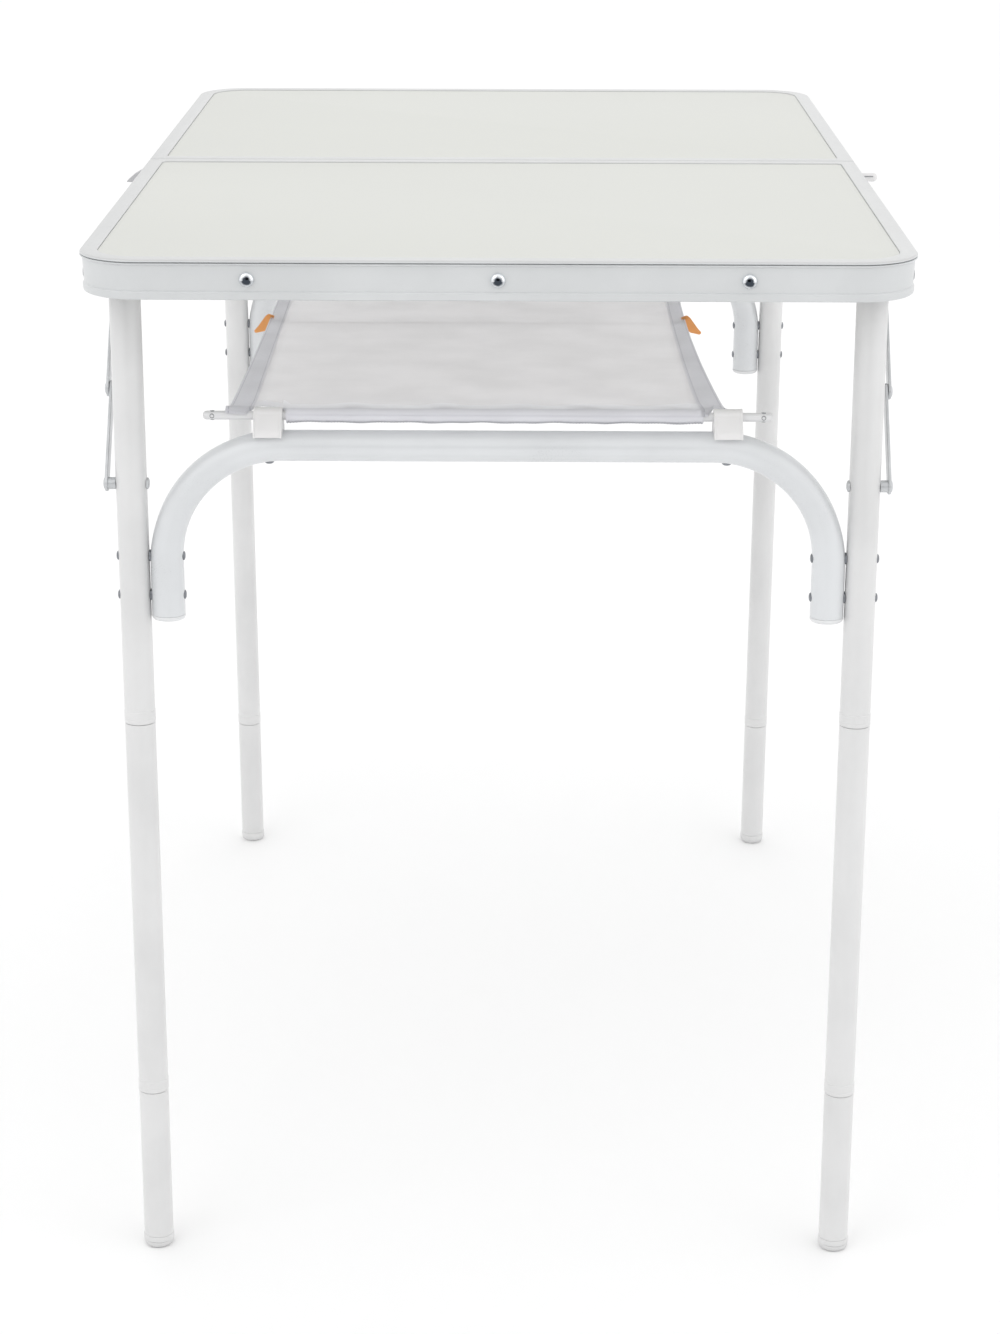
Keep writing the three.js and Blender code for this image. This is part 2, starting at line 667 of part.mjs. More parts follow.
// The end stretch has a hem around the rod, joined to the sheet by a narrow tongue.
function buildNetEnd(endName, end) {
  const y = end * ROD_LINE.y;
  const z = ROD_LINE.z;
  const inner = end * (NET_SPLIT_Y + 0.2);
  const outer = end * NET_END_Y;
  const sheet = netSheet(Math.min(inner, outer), Math.max(inner, outer));
  const [left, right] = SLEEVE_SPAN;
  const wall = ROD_RADIUS + GAP + SLEEVE_WALL;
  const hem = new THREE.Shape();
  hem.absarc(y, z, wall, 0, 2 * Math.PI, false);
  const hemHole = new THREE.Path();
  hemHole.absarc(y, z, ROD_RADIUS + GAP, 0, 2 * Math.PI, true);
  hem.holes.push(hemHole);
  const tongueStart = y - end * (wall - 0.6);
  const tongueEnd = outer - end;
  const half = NET_THICKNESS / 2;
  const tongue = new THREE.Shape();
  tongue.moveTo(tongueStart, z - half);
  tongue.lineTo(tongueEnd, z - half);
  tongue.lineTo(tongueEnd, z + half);
  tongue.lineTo(tongueStart, z + half);
  tongue.closePath();
  const pieces = [sheet, plateAcross(hem, left, right), plateAcross(tongue, left, right)];
  addPiece(`shelf_net_${endName}`, join(pieces), netCloth);
}

// Blank cloth tags sewn to both side edges near the middle, hanging outwards.
function buildTag(name, side, x) {
  const geometry = new THREE.BoxGeometry(16, 14, 1.2);
  geometry.translate(8.5, 0, 0);
  geometry.rotateX(THREE.MathUtils.degToRad(50));
  geometry.rotateY(THREE.MathUtils.degToRad(32));
  geometry.rotateZ(side > 0 ? 0 : Math.PI);
  geometry.translate(x + side * 5.5, TAG_Y, ROD_LINE.z - 1);
  addPiece(name, toSolid(geometry), tagCloth);
}

// ---------------------------------------------------------------- assembly
for (const [endName, end] of [['front', -1], ['back', 1]]) {
  buildRim(endName, end);
  buildPanel(endName, end);
  buildUBar(endName, end);
  buildRod(endName, end);
  for (const [sideName, side] of [['left', -1], ['right', 1]]) {
    const prefix = `${endName}_${sideName}`;
    const x = side * LEG_X;
    buildUpperLeg(prefix, x, end);
    buildSection(`${prefix}_leg_extension`, x, end, JOINT_Z[0], collar(JOINT_Z[1] + GAP));
    buildSection(`${prefix}_leg_foot`, x, end, JOINT_Z[1], [[LEG_RADIUS, CAP_HEIGHT + GAP]]);
    buildFootCap(prefix, x, end);
    buildLegPivot(prefix, side, end * LEG_Y);
    buildFrameRivet(`${prefix}_rivet_high`, side, end, RIVET_Z[0]);
    buildFrameRivet(`${prefix}_rivet_low`, side, end, RIVET_Z[1]);
    buildLowerLink(prefix, side, end);
    buildUpperLink(prefix, side, end);
    buildClip(`${prefix}_clip`, side * CLIP_X, end);
  }
  buildNetEnd(endName, end);
}
buildStuds();
buildPegs();
addPiece('shelf_net_middle', netSheet(-NET_SPLIT_Y, NET_SPLIT_Y), netCloth);
buildTag('shelf_tag_left', -1, NET_LEFT);
buildTag('shelf_tag_right', 1, netRightEdge(TAG_Y));

export default table;
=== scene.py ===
import math

import bmesh
import bpy
from mathutils import Matrix, Vector


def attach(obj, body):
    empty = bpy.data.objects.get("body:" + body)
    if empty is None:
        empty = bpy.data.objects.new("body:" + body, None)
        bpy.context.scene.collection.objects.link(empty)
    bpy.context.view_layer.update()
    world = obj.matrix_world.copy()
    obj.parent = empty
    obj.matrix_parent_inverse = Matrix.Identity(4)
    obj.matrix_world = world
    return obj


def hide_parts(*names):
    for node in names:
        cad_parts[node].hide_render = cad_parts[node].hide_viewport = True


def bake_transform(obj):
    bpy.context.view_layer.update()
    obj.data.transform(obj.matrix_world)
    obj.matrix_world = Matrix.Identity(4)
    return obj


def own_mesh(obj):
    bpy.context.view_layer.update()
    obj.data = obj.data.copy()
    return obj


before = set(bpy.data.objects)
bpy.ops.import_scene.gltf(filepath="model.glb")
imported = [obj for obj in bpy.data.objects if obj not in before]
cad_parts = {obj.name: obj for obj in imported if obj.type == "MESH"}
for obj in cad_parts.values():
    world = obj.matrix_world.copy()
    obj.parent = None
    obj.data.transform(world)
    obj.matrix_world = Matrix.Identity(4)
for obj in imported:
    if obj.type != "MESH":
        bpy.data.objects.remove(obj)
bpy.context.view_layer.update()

# Shapes are written in millimetres, in the model's own frame, and scaled once, in add_piece.
MM = 0.001
ENDS = {"front": -1, "back": 1}
SIDES = {"left": -1, "right": 1}

# worktop
HALF_WIDTH = 300
HALF_LENGTH = 450
TOP = 800
CORNER_RADIUS = 45
SEAM_CHAMFER = 3
SEAM_GAP = 0.2            # from the middle of the table to each half
WEB_X = 298
WEB_Y = 448
WEB_WALL = 1.8
LIP_BOTTOM = TOP - 1.1
LIP_WIDTH = 13
PANEL_TOP = TOP - 0.8
STUD_X = {"left": -177, "middle": 0, "right": 177}
STUD_Z = 786
PEG_Y = -10.6             # both side pegs, on the front half
PEG_Z = 788

# leg frames
LEG_X = 270
LEG_Y = 399
PIVOT_Z = 782
LEAN = math.radians(1.7)
TUBE = 11.5
TUBE_WALL = 1.5
TUBE_PLAY = 0.2           # between a tube and the head or collar of a rivet beside it
PLUG_HEIGHT = 36
UPPER_END = 440.3         # lower end of the upper leg
SECTION_TOPS = {"leg_extension": 440, "leg_foot": 135}
SECTION_ENDS = {"leg_extension": 135.3, "leg_foot": 9.2}
COLLAR = 10
COLLAR_RELIEF = 0.3
BAR_Z = 654               # the U-bar's level part
BAR_X = 245.5             # its two upright parts
BAR_END = 521             # its lower tips
BEND = 87                 # radius of its bends
BAR_PRESS = 0.08          # how much wider its tips are pressed, as a share
RIVET_Z = {"high": 570, "low": 540}

# knuckle stays
STAY_LEG_Z = 625          # the pivot on the leg, before the leg leans
STAY_RIM = Vector((285, 781))    # the pivot on the rim, in Y and Z
STAY_LOWER = 76           # between the lower link's pivots
STAY_WIDTH = 12
STAY_THICKNESS = 2.2
STAY_INNER = 287          # inner face of the lower link
STAY_OUTER = 289.7        # inner face of the upper link

# net shelf
ROD = 3.3
ROD_Z = 676.4
ROD_LEFT = -216
ROD_RIGHT = 201
CLIP_X = 168
CLIP_WIDTH = 21
NET_LEFT = -199
NET_RIGHT = 168
NET_WAIST = 12            # how far its right edge is drawn in midway
NET_SPLIT = 60            # from the middle of the table to the end stretches
SLEEVE = (-155, 150)      # the hem pocket's two ends
SLEEVE_OUTER = 4.5        # radius of its outer face
SLEEVE_INNER = 3.9
BAND = 20                 # width of the bound side edges
HEM_DEPTH = 34            # the hem's double layer beside the rod
TAG_Y = -48
TAG_WIDTH = 14
TAG_SEWN = 3              # how much of a tag is under the net's edge
TAG_REACH = 17
TAG_FALL = 12


# ---------------------------------------------------------------- materials
def linear(red, green, blue):
    """A linear colour from sRGB numbers between 0 and 255."""
    def channel(value):
        value /= 255
        return value / 12.92 if value <= 0.04045 else ((value + 0.055) / 1.055) ** 2.4
    return (channel(red), channel(green), channel(blue), 1)


class Graph:
    """A material's node tree, with short ways to add and link nodes."""

    def __init__(self, name):
        self.material = bpy.data.materials.new(name)
        self.material.use_nodes = True
        self.tree = self.material.node_tree
        self.shader = self.tree.nodes["Principled BSDF"]
        self.place = self.add("ShaderNodeTexCoord").outputs["Object"]

    def add(self, kind, **values):
        node = self.tree.nodes.new(kind)
        for key, value in values.items():
            setattr(node, key, value)
        return node

    def link(self, source, target):
        self.tree.links.new(source, target)

    def stretched(self, scale):
        mapping = self.add("ShaderNodeMapping")
        mapping.inputs["Scale"].default_value = scale
        self.link(self.place, mapping.inputs["Vector"])
        return mapping.outputs["Vector"]

    def noise(self, scale, detail=3, stretch=None):
        node = self.add("ShaderNodeTexNoise")
        node.inputs["Scale"].default_value = scale
        node.inputs["Detail"].default_value = detail
        self.link(self.stretched(stretch) if stretch else self.place, node.inputs["Vector"])
        return node.outputs["Fac"]

    def math(self, operation, first, second=None):
        node = self.add("ShaderNodeMath", operation=operation)
        for socket, value in zip(node.inputs, (first, second)):
            if isinstance(value, (int, float)):
                socket.default_value = value
            elif value is not None:
                self.link(value, socket)
        return node.outputs[0]

    def ramp(self, factor, low, high, start=0.35, end=0.65):
        node = self.add("ShaderNodeValToRGB")
        node.color_ramp.elements[0].position = start
        node.color_ramp.elements[0].color = low
        node.color_ramp.elements[1].position = end
        node.color_ramp.elements[1].color = high
        self.link(factor, node.inputs["Fac"])
        return node.outputs["Color"]

    def mix(self, factor, first, second):
        node = self.add("ShaderNodeMix", data_type="RGBA")
        self.link(factor, node.inputs["Factor"])
        colours = [s for s in node.inputs if s.type == "RGBA"]
        for socket, value in zip(colours, (first, second)):
            if isinstance(value, tuple):
                socket.default_value = value
            else:
                self.link(value, socket)
        return [s for s in node.outputs if s.type == "RGBA"][0]

    def blend(self, share, first, second):
        node = self.add("ShaderNodeMixShader")
        node.inputs["Fac"].default_value = share
        self.link(first, node.inputs[1])
        self.link(second, node.inputs[2])
        return node.outputs[0]

    def remap(self, value, low, high):
        node = self.add("ShaderNodeMapRange")
        node.inputs["From Min"].default_value = 0.3
        node.inputs["From Max"].default_value = 0.7
        node.inputs["To Min"].default_value = low
        node.inputs["To Max"].default_value = high
        self.link(value, node.inputs["Value"])
        return node.outputs["Result"]

    def bump(self, height, strength, distance):
        node = self.add("ShaderNodeBump")
        node.inputs["Strength"].default_value = strength
        node.inputs["Distance"].default_value = distance
        self.link(height, node.inputs["Height"])
        self.link(node.outputs["Normal"], self.shader.inputs["Normal"])


def shade(colour, factor):
    """The colour made lighter or darker."""
    return tuple(min(1, c * factor) for c in colour[:3]) + (1,)


def surface(name, colour, roughness, metallic=0.0, spread=0.05, cloud=14, grain=1400,
            bump=0.15, depth=0.0001, stretch=None, coat=0.0):
    """A hard finish: cloudy tint, uneven gloss and a fine grain in relief."""
    graph = Graph(name)
    base = linear(*colour)
    tint = graph.noise(cloud, 4)
    light = graph.ramp(tint, shade(base, 1 - spread), shade(base, 1 + spread * 0.4))
    graph.link(light, graph.shader.inputs["Base Color"])
    fine = graph.noise(grain, 2, stretch)
    gloss = graph.math("ADD", graph.math("MULTIPLY", tint, 0.5), graph.math("MULTIPLY", fine, 0.5))
    graph.link(graph.remap(gloss, roughness * 0.85, roughness * 1.2),
               graph.shader.inputs["Roughness"])
    graph.shader.inputs["Metallic"].default_value = metallic
    graph.shader.inputs["Coat Weight"].default_value = coat
    graph.shader.inputs["Coat Roughness"].default_value = 0.25
    graph.bump(fine, bump, depth)
    return graph.material


def polished(name, colour, middle):
    """Chrome with a painted reflection: dark in the middle of a dome, as a mirrored dark room
    would be, and bright further out. U is the distance from that middle, in millimetres."""
    graph = Graph(name)
    uv = graph.add("ShaderNodeUVMap").outputs["UV"]
    split = graph.add("ShaderNodeSeparateXYZ")
    graph.link(uv, split.inputs[0])
    cloud = graph.math("MULTIPLY", graph.noise(420, 3), 1.6)
    reach = graph.math("DIVIDE", graph.math("ADD", split.outputs["X"], cloud), 6)
    # painted reflection: the dark middle colour turns into the chrome's own colour further out
    tone = graph.ramp(reach, linear(*middle), linear(*colour), 0.56, 0.84)
    graph.link(tone, graph.shader.inputs["Base Color"])
    graph.link(graph.remap(graph.noise(900, 2), 0.05, 0.12), graph.shader.inputs["Roughness"])
    graph.shader.inputs["Metallic"].default_value = 1.0
    return graph.material


def plastic_greyed_low(name, colour, low, high):
    """Moulded plastic that is greyer, in patches, towards the lower of two heights."""
    graph = Graph(name)
    base = linear(*colour)
    split = graph.add("ShaderNodeSeparateXYZ")
    graph.link(graph.place, split.inputs[0])
    patches = graph.noise(220, 5)
    height = graph.add("ShaderNodeMapRange")
    height.inputs["From Min"].default_value = low
    height.inputs["From Max"].default_value = high
    height.inputs["To Min"].default_value = 1
    height.inputs["To Max"].default_value = 0
    graph.link(split.outputs["Z"], height.inputs["Value"])
    greyed = graph.math("MULTIPLY", height.outputs["Result"], graph.remap(patches, 0.2, 1.0))
    tone = graph.mix(greyed, shade(base, 0.98), shade(base, 0.8))
    graph.link(tone, graph.shader.inputs["Base Color"])
    fine = graph.noise(1800, 2)
    graph.link(graph.remap(fine, 0.42, 0.55), graph.shader.inputs["Roughness"])
    graph.bump(fine, 0.2, 0.0001)
    return graph.material


def panel_board(name, colour):
    """Laminated board: a low pebble grain and faint clouds."""
    graph = Graph(name)
    base = linear(*colour)
    cloud = graph.noise(3.5, 5)
    pebble = graph.add("ShaderNodeTexVoronoi", feature="F1")
    pebble.inputs["Scale"].default_value = 620
    graph.link(graph.place, pebble.inputs["Vector"])
    speck = graph.noise(900, 2)
    tint = graph.ramp(cloud, shade(base, 0.97), shade(base, 1.02))
    tone = graph.mix(graph.remap(speck, 0.0, 0.35), tint, shade(base, 0.93))
    graph.link(tone, graph.shader.inputs["Base Color"])
    graph.link(graph.remap(cloud, 0.46, 0.58), graph.shader.inputs["Roughness"])
    graph.bump(pebble.outputs["Distance"], 0.22, 0.00012)
    return graph.material


def cloth(name, colour, pitch, depth, contrast, rows=(), row_pitch=3.2, thread=None,
          glow=0.0, open_share=0.0):
    """Woven cloth laid out by its UV map, in millimetres: U from the nearest side edge and V
    along the edge. rows are lines of stitching at those distances from the edge, glow is how
    much of the light it passes on diffusely, and open_share the share of it that is holes."""
    graph = Graph(name)
    base = linear(*colour)
    uv = graph.add("ShaderNodeUVMap").outputs["UV"]
    split = graph.add("ShaderNodeSeparateXYZ")
    graph.link(uv, split.inputs[0])
    inward, along = split.outputs["X"], split.outputs["Y"]
    waves = []
    for axis in (inward, along):
        turn = graph.math("MULTIPLY", axis, 2 * math.pi / pitch)
        waves.append(graph.math("MULTIPLY", graph.math("SINE", turn), 0.5))
    weave = graph.math("ADD", graph.math("MULTIPLY", waves[0], waves[1]), 0.5)
    cloud = graph.noise(22, 4)
    fuzz = graph.noise(1500, 2)
    tint = graph.ramp(cloud, shade(base, 0.96), shade(base, 1.03))
    deep = graph.mix(graph.remap(weave, 0.0, contrast), tint, shade(base, 0.72))
    colour_out, height = deep, graph.math("ADD", weave, graph.math("MULTIPLY", fuzz, 0.3))
    if rows:
        lines = None
        for row in rows:
            gap = graph.math("ABSOLUTE", graph.math("SUBTRACT", inward, row))
            line = graph.math("LESS_THAN", gap, 0.42)
            lines = line if lines is None else graph.math("ADD", lines, line)
        phase = graph.math("FRACT", graph.math("DIVIDE", along, row_pitch))
        stitch = graph.math("MULTIPLY", lines, graph.math("GREATER_THAN", phase, 0.28))
        colour_out = graph.mix(stitch, deep, linear(*(thread or colour)))
        height = graph.math("ADD", height, graph.math("MULTIPLY", stitch, 1.2))
    graph.link(colour_out, graph.shader.inputs["Base Color"])
    graph.link(graph.remap(fuzz, 0.75, 0.95), graph.shader.inputs["Roughness"])
    graph.shader.inputs["Sheen Weight"].default_value = 0.15
    graph.shader.inputs["Specular IOR Level"].default_value = 0.25
    graph.bump(height, 0.5, depth)
    result = graph.shader.outputs[0]
    if glow:
        passed = graph.add("ShaderNodeBsdfTranslucent")
        graph.link(colour_out, passed.inputs["Color"])
        result = graph.blend(glow, result, passed.outputs[0])
    if open_share:
        holes = graph.add("ShaderNodeBsdfTransparent")
        result = graph.blend(open_share, result, holes.outputs[0])
    graph.link(result, graph.tree.nodes["Material Output"].inputs["Surface"])
    return graph.material


RIM_PAINT = surface("rim_paint", (210, 212, 213), 0.36, 0.12, grain=900,
                    stretch=(0.25, 0.25, 6), bump=0.08, coat=0.1)
# the rim's paint made darker for the top faces of the lip: painted shade that tones down the light
# they catch from above
LIP_PAINTED_SHADE = surface("lip_painted_shade", (199, 200, 200), 0.36, 0.12, grain=900,
                    stretch=(0.25, 0.25, 6), bump=0.08, coat=0.1)
LEG_PAINT = surface("leg_paint", (220, 220, 220), 0.34, 0.08, grain=1300, bump=0.1, coat=0.15)
BAR_PAINT = surface("bar_paint", (218, 220, 222), 0.3, 0.08, grain=1300, bump=0.1, coat=0.2)
PANEL = panel_board("panel_board", (209, 210, 205))
WHITE_PLASTIC = surface("white_plastic", (228, 227, 227), 0.45, grain=1800, bump=0.2)
ROD_PAINT = surface("rod_paint", (222, 222, 223), 0.34, 0.1, grain=1500, bump=0.1)
PEG_PLASTIC = surface("peg_plastic", (184, 184, 186), 0.4, grain=1600, bump=0.15)
# the feet greyer, in patches, over their lowest 6 mm
FOOT_PLASTIC = plastic_greyed_low("foot_plastic", (220, 220, 220), 0.0, 0.006)
PLUG_PLASTIC = surface("plug_plastic", (226, 227, 228), 0.4, grain=1800, bump=0.15)
DARK_STEEL = surface("dark_steel", (138, 141, 146), 0.38, 0.9, spread=0.2, cloud=300,
                     grain=2400, bump=0.2)
STAY_STEEL = surface("stay_steel", (204, 206, 208), 0.36, 0.6, spread=0.1, cloud=90,
                     grain=700, stretch=(1, 1, 5), bump=0.12)
# chrome whose dark middle is a painted reflection
CHROME_PAINTED_REFLECTION = polished("chrome_painted_reflection", (236, 239, 242), (66, 72, 80))
# a dark grey for the peg's slot and the rod's holes: painted shade in place of their depth
RECESS_PAINTED_SHADE = surface("recess_painted_shade", (146, 148, 151), 0.7, spread=0.2, cloud=400, grain=1500, bump=0.2)
NET = cloth("net_mesh", (248, 247, 248), 1.9, 0.0002, 0.3, glow=0.6, open_share=0.24)
BINDING = cloth("net_binding", (238, 238, 241), 1.1, 0.00015, 0.3, rows=(2.2, 17.6),
                thread=(208, 208, 213), glow=0.58, open_share=0.08)
HEM = cloth("net_hem", (250, 250, 252), 1.9, 0.0002, 0.3, glow=0.65, open_share=0.12)
SLEEVE_CLOTH = cloth("hem_fold", (222, 222, 227), 1.9, 0.0002, 0.3)
THREAD = surface("hem_thread", (176, 177, 182), 0.8, spread=0.15, cloud=500, grain=2600,
                 bump=0.4)
TAG = cloth("tag_cloth", (250, 200, 140), 0.9, 0.00012, 0.3, rows=(1.6,), row_pitch=2.4,
            thread=(252, 226, 190), glow=0.5)


# ---------------------------------------------------------------- mesh helpers
def add_piece(name, bm, material, body, replaced=(), sharp=38):
    """A finished mesh, from millimetres to metres, that rides on a body."""
    bmesh.ops.remove_doubles(bm, verts=bm.verts, dist=1e-4)
    bmesh.ops.recalc_face_normals(bm, faces=bm.faces)
    limit = math.radians(sharp)
    for edge in bm.edges:
        edge.smooth = edge.calc_face_angle(0.0) < limit
    for face in bm.faces:
        face.smooth = True
    bm.transform(Matrix.Scale(MM, 4))
    mesh = bpy.data.meshes.new(name)
    bm.to_mesh(mesh)
    bm.free()
    for entry in material if isinstance(material, (list, tuple)) else [material]:
        mesh.materials.append(entry)
    piece = bpy.data.objects.new(name, mesh)
    bpy.context.scene.collection.objects.link(piece)
    if body:
        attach(piece, body)
    if replaced:
        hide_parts(*replaced)
    return piece


def rounded(points, radius, steps=3, closed=False):
    """The polyline with its corners rounded off."""
    out = []
    last = len(points) - 1
    for index, point in enumerate(points):
        corner = Vector(point)
        if not closed and index in (0, last):
            out.append(corner)
            continue
        before = Vector(points[index - 1]) - corner
        after = Vector(points[(index + 1) % len(points)]) - corner
        reach = min(radius, before.length / 2.02, after.length / 2.02)
        start = corner + before.normalized() * reach
        end = corner + after.normalized() * reach
        for step in range(steps + 1):
            t = step / steps
            out.append(start * (1 - t) ** 2 + corner * (2 * t * (1 - t)) + end * t * t)
    return out


def bridge(bm, first, second, closed=True):
    """Faces between two rings of vertices; a ring of one vertex is a tip."""
    count = max(len(first), len(second))
    for i in range(count if closed else count - 1):
        j = (i + 1) % count
        corners = []
        for vertex in (first[i % len(first)], first[j % len(first)],
                       second[j % len(second)], second[i % len(second)]):
            if vertex not in corners:
                corners.append(vertex)
        if len(corners) > 2:
            bm.faces.new(corners)


def lathe(bm, profile, place, sides=48):
    """Turns (radius, along) pairs about the Z axis of the place matrix."""
    rings = []
    for radius, along in profile:
        if radius < 1e-6:
            rings.append([bm.verts.new(place @ Vector((0, 0, along)))])
            continue
        turn = [2 * math.pi * k / sides for k in range(sides)]
        rings.append([bm.verts.new(place @ Vector((radius * math.cos(a), radius * math.sin(a),
                                                   along))) for a in turn])
    for lower, upper in zip(rings, rings[1:]):
        bridge(bm, lower, upper)


def turned(profile, place, sides=48, rounding=0.4):
    """A new mesh, turned from a profile whose corners are rounded off."""
    bm = bmesh.new()
    lathe(bm, rounded(profile, rounding), place, sides)
    return bm


def upright(x, y):
    return Matrix.Translation((x, y, 0))


def across(side, y, z):
    """Along the X axis, outwards from the middle of the table on that side."""
    return Matrix.Translation((0, y, z)) @ Matrix.Rotation(side * math.pi / 2, 4, "Y")


def leaning(end):
    """Leans upright leg-frame shapes outwards about the frame's pivot line."""
    pivot = Vector((0, end * LEG_Y, PIVOT_Z))
    turn = Matrix.Rotation(end * LEAN, 4, "X")
    return Matrix.Translation(pivot) @ turn @ Matrix.Translation(-pivot)


def skin(bm, rings):
    """Faces from each ring to the next, and one over either end."""
    for first, second in zip(rings, rings[1:]):
        bridge(bm, first, second)
    bm.faces.new(rings[0])
    bm.faces.new(rings[-1])


def swept(bm, path, radius, normal, sides=32):
    """A round bar along a flat path whose plane has that normal."""
    rings = []
    for index, point in enumerate(path):
        before = path[max(index - 1, 0)]
        after = path[min(index + 1, len(path) - 1)]
        tangent = (after - before).normalized()
        side = normal.cross(tangent).normalized()
        rings.append([
            bm.verts.new(point + radius * (math.cos(a) * side + math.sin(a) * normal))
            for a in (2 * math.pi * k / sides for k in range(sides))
        ])
    skin(bm, rings)


def plate(bm, outline, x0, x1, bevel=0.5):
    """A flat outline in Y and Z, thick from x0 to x1, with its long edges bevelled."""
    area = sum(a.cross(b) for a, b in zip(outline, outline[1:] + outline[:1]))
    turn = math.copysign(1, area)
    layers = []
    for x, inset in ((x0, bevel), (x0 + bevel, 0), (x1 - bevel, 0), (x1, bevel)):
        ring = []
        for index, point in enumerate(outline):
            before = (point - outline[index - 1]).normalized()
            after = (outline[(index + 1) % len(outline)] - point).normalized()
            along = (before + after).normalized()
            moved = point + turn * Vector((-along.y, along.x)) * inset
            ring.append(bm.verts.new((x, moved.x, moved.y)))
        layers.append(ring)
    skin(bm, layers)


def arc(centre, radius, start, end, steps):
    """Points of an arc, with its angles in degrees."""
    points = []
    for step in range(steps + 1):
        angle = math.radians(start + (end - start) * step / steps)
        points.append(Vector((centre[0] + radius * math.cos(angle),
                              centre[1] + radius * math.sin(angle))))
    return points


# ---------------------------------------------------------------- worktop
def half_outline(inset, end):
    """Points round a half at that inset, from the middle of one seam corner to the other, and
    then those of the seam side."""
    side = HALF_WIDTH - inset
    near = SEAM_GAP + inset
    far = HALF_LENGTH - inset
    radius = CORNER_RADIUS - inset
    middle = SEAM_CHAMFER / 2
    long_way = [Vector((side - middle, near + middle)), Vector((side, near + SEAM_CHAMFER))]
    long_way += arc((side - radius, far - radius), radius, 0, 90, 18)
    long_way += arc((-side + radius, far - radius), radius, 90, 180, 18)
    long_way += [Vector((-side, near + SEAM_CHAMFER)), Vector((-side + middle, near + middle))]
    seam = [long_way[-1], Vector((-side + SEAM_CHAMFER, near)),
            Vector((side - SEAM_CHAMFER, near)), long_way[0]]
    turn = 1 if end > 0 else -1
    return [[point * turn for point in way] for way in (long_way, seam)]


def rim_profile():
    """The extrusion's section as (inset, height): lip, groove, bead, web, foot bead, ledge."""
    lip = [(LIP_WIDTH, LIP_BOTTOM), (LIP_WIDTH, TOP - 0.5), (LIP_WIDTH - 0.6, TOP), (1.9, TOP),
           (0.9, TOP - 0.3), (0.3, TOP - 0.9), (0.1, TOP - 1.5)]
    groove = [(0.2, TOP - 1.75), (2.2, TOP - 1.9), (2.4, TOP - 2.2), (2.2, TOP - 2.5),
              (0.4, TOP - 2.6)]
    bead = [(0, TOP - 2.9), (0, TOP - 3.3), (0.5, TOP - 3.8), (1.4, TOP - 4), (1.8, TOP - 4.3)]
    web = [(2.5, TOP - 22)]
    foot = [(2.6, TOP - 22.7), (2.1, TOP - 23), (1.6, TOP - 23.8), (1.6, TOP - 27),
            (2, TOP - 28.3), (3, TOP - 29), (4.8, TOP - 29), (5.8, TOP - 28.3),
            (6, TOP - 27.2), (6, TOP - 24.6), (5.4, TOP - 23.6), (3.9, TOP - 23.2)]
    inside = [(3.9, TOP - 7.3), (9, TOP - 7.3), (9, TOP - 5.8), (3.6, TOP - 5.8),
              (3.6, LIP_BOTTOM)]
    return lip + groove + bead + web + foot + inside


def build_rim(end_name, end):
    """The section drawn round three sides, and along the seam for the rail."""
    for way, node in ((0, "rim"), (1, "seam_rail")):
        bm = bmesh.new()
        rings = []
        for inset, height in rim_profile():
            rings.append([bm.verts.new((p.x, p.y, height))
                          for p in half_outline(inset, end)[way]])
        for first, second in zip(rings, rings[1:] + rings[:1]):
            bridge(bm, first, second, closed=False)
        for tip in (0, -1):
            bm.faces.new([ring[tip] for ring in rings])
        # faces at the top of the section, on the lip, take the darker copy of the paint: painted
        # shade
        for face in bm.faces:
            face.material_index = min(v.co.z for v in face.verts) > LIP_BOTTOM - 0.1
        add_piece(f"{end_name}_{node}_section", bm, [RIM_PAINT, LIP_PAINTED_SHADE], f"{end_name}_half",
                  [f"{end_name}_{node}"], sharp=28)


def build_panel(end_name, end):
    """A board rebated to pass under the lip, whose face fills the space inside the lip."""
    bm = bmesh.new()
    rebate = LIP_BOTTOM - 0.5
    side = LIP_WIDTH + 0.2
    profile = [(3.8, TOP - 5.4), (3.8, rebate), (side, rebate), (side, LIP_BOTTOM),
               (side + 0.1, PANEL_TOP - 0.1), (side + 0.4, PANEL_TOP)]
    rings = []
    for inset, height in profile:
        long_way, seam = half_outline(inset, end)
        rings.append([bm.verts.new((p.x, p.y, height)) for p in long_way + seam[1:-1]])
    skin(bm, rings)
    add_piece(f"{end_name}_panel_board", bm, PANEL, f"{end_name}_half",
              [f"{end_name}_panel"], sharp=50)


def build_studs():
    """Domed studs, whose U is the distance from a spot just below the middle of the dome, where
    their painted reflection is darkest.
    """
    face = WEB_Y
    for name, x in STUD_X.items():
        place = Matrix.Translation((x, 0, STUD_Z)) @ Matrix.Rotation(math.pi / 2, 4, "X")
        dome = [(0, face - 3), (3.5, face - 3), (3.5, face - WEB_WALL), (2, face - WEB_WALL),
                (2, face), (5.4, face), (5.5, face + 0.5)]
        dome += [(5.3 * math.cos(math.radians(a)), face + 0.6 + 3 * math.sin(math.radians(a)))
                 for a in range(8, 89, 8)]
        bm = bmesh.new()
        lathe(bm, dome + [(0, face + 3.6)], place, 48)
        uv = bm.loops.layers.uv.new("UVMap")
        # the painted reflection is centred 0.5 mm below the dome's middle, and is narrower above
        # that centre than below it
        for face_of_dome in bm.faces:
            for loop in face_of_dome.loops:
                spot = loop.vert.co
                up = spot.z - STUD_Z + 0.5
                sideways = (spot.x - x) * (1.15 if up > 0 else 0.85)
                loop[uv].uv = (math.hypot(sideways, up), spot.y)
        add_piece(f"edge_stud_{name}_dome", bm, CHROME_PAINTED_REFLECTION, "front_half",
                  [f"edge_stud_{name}"])


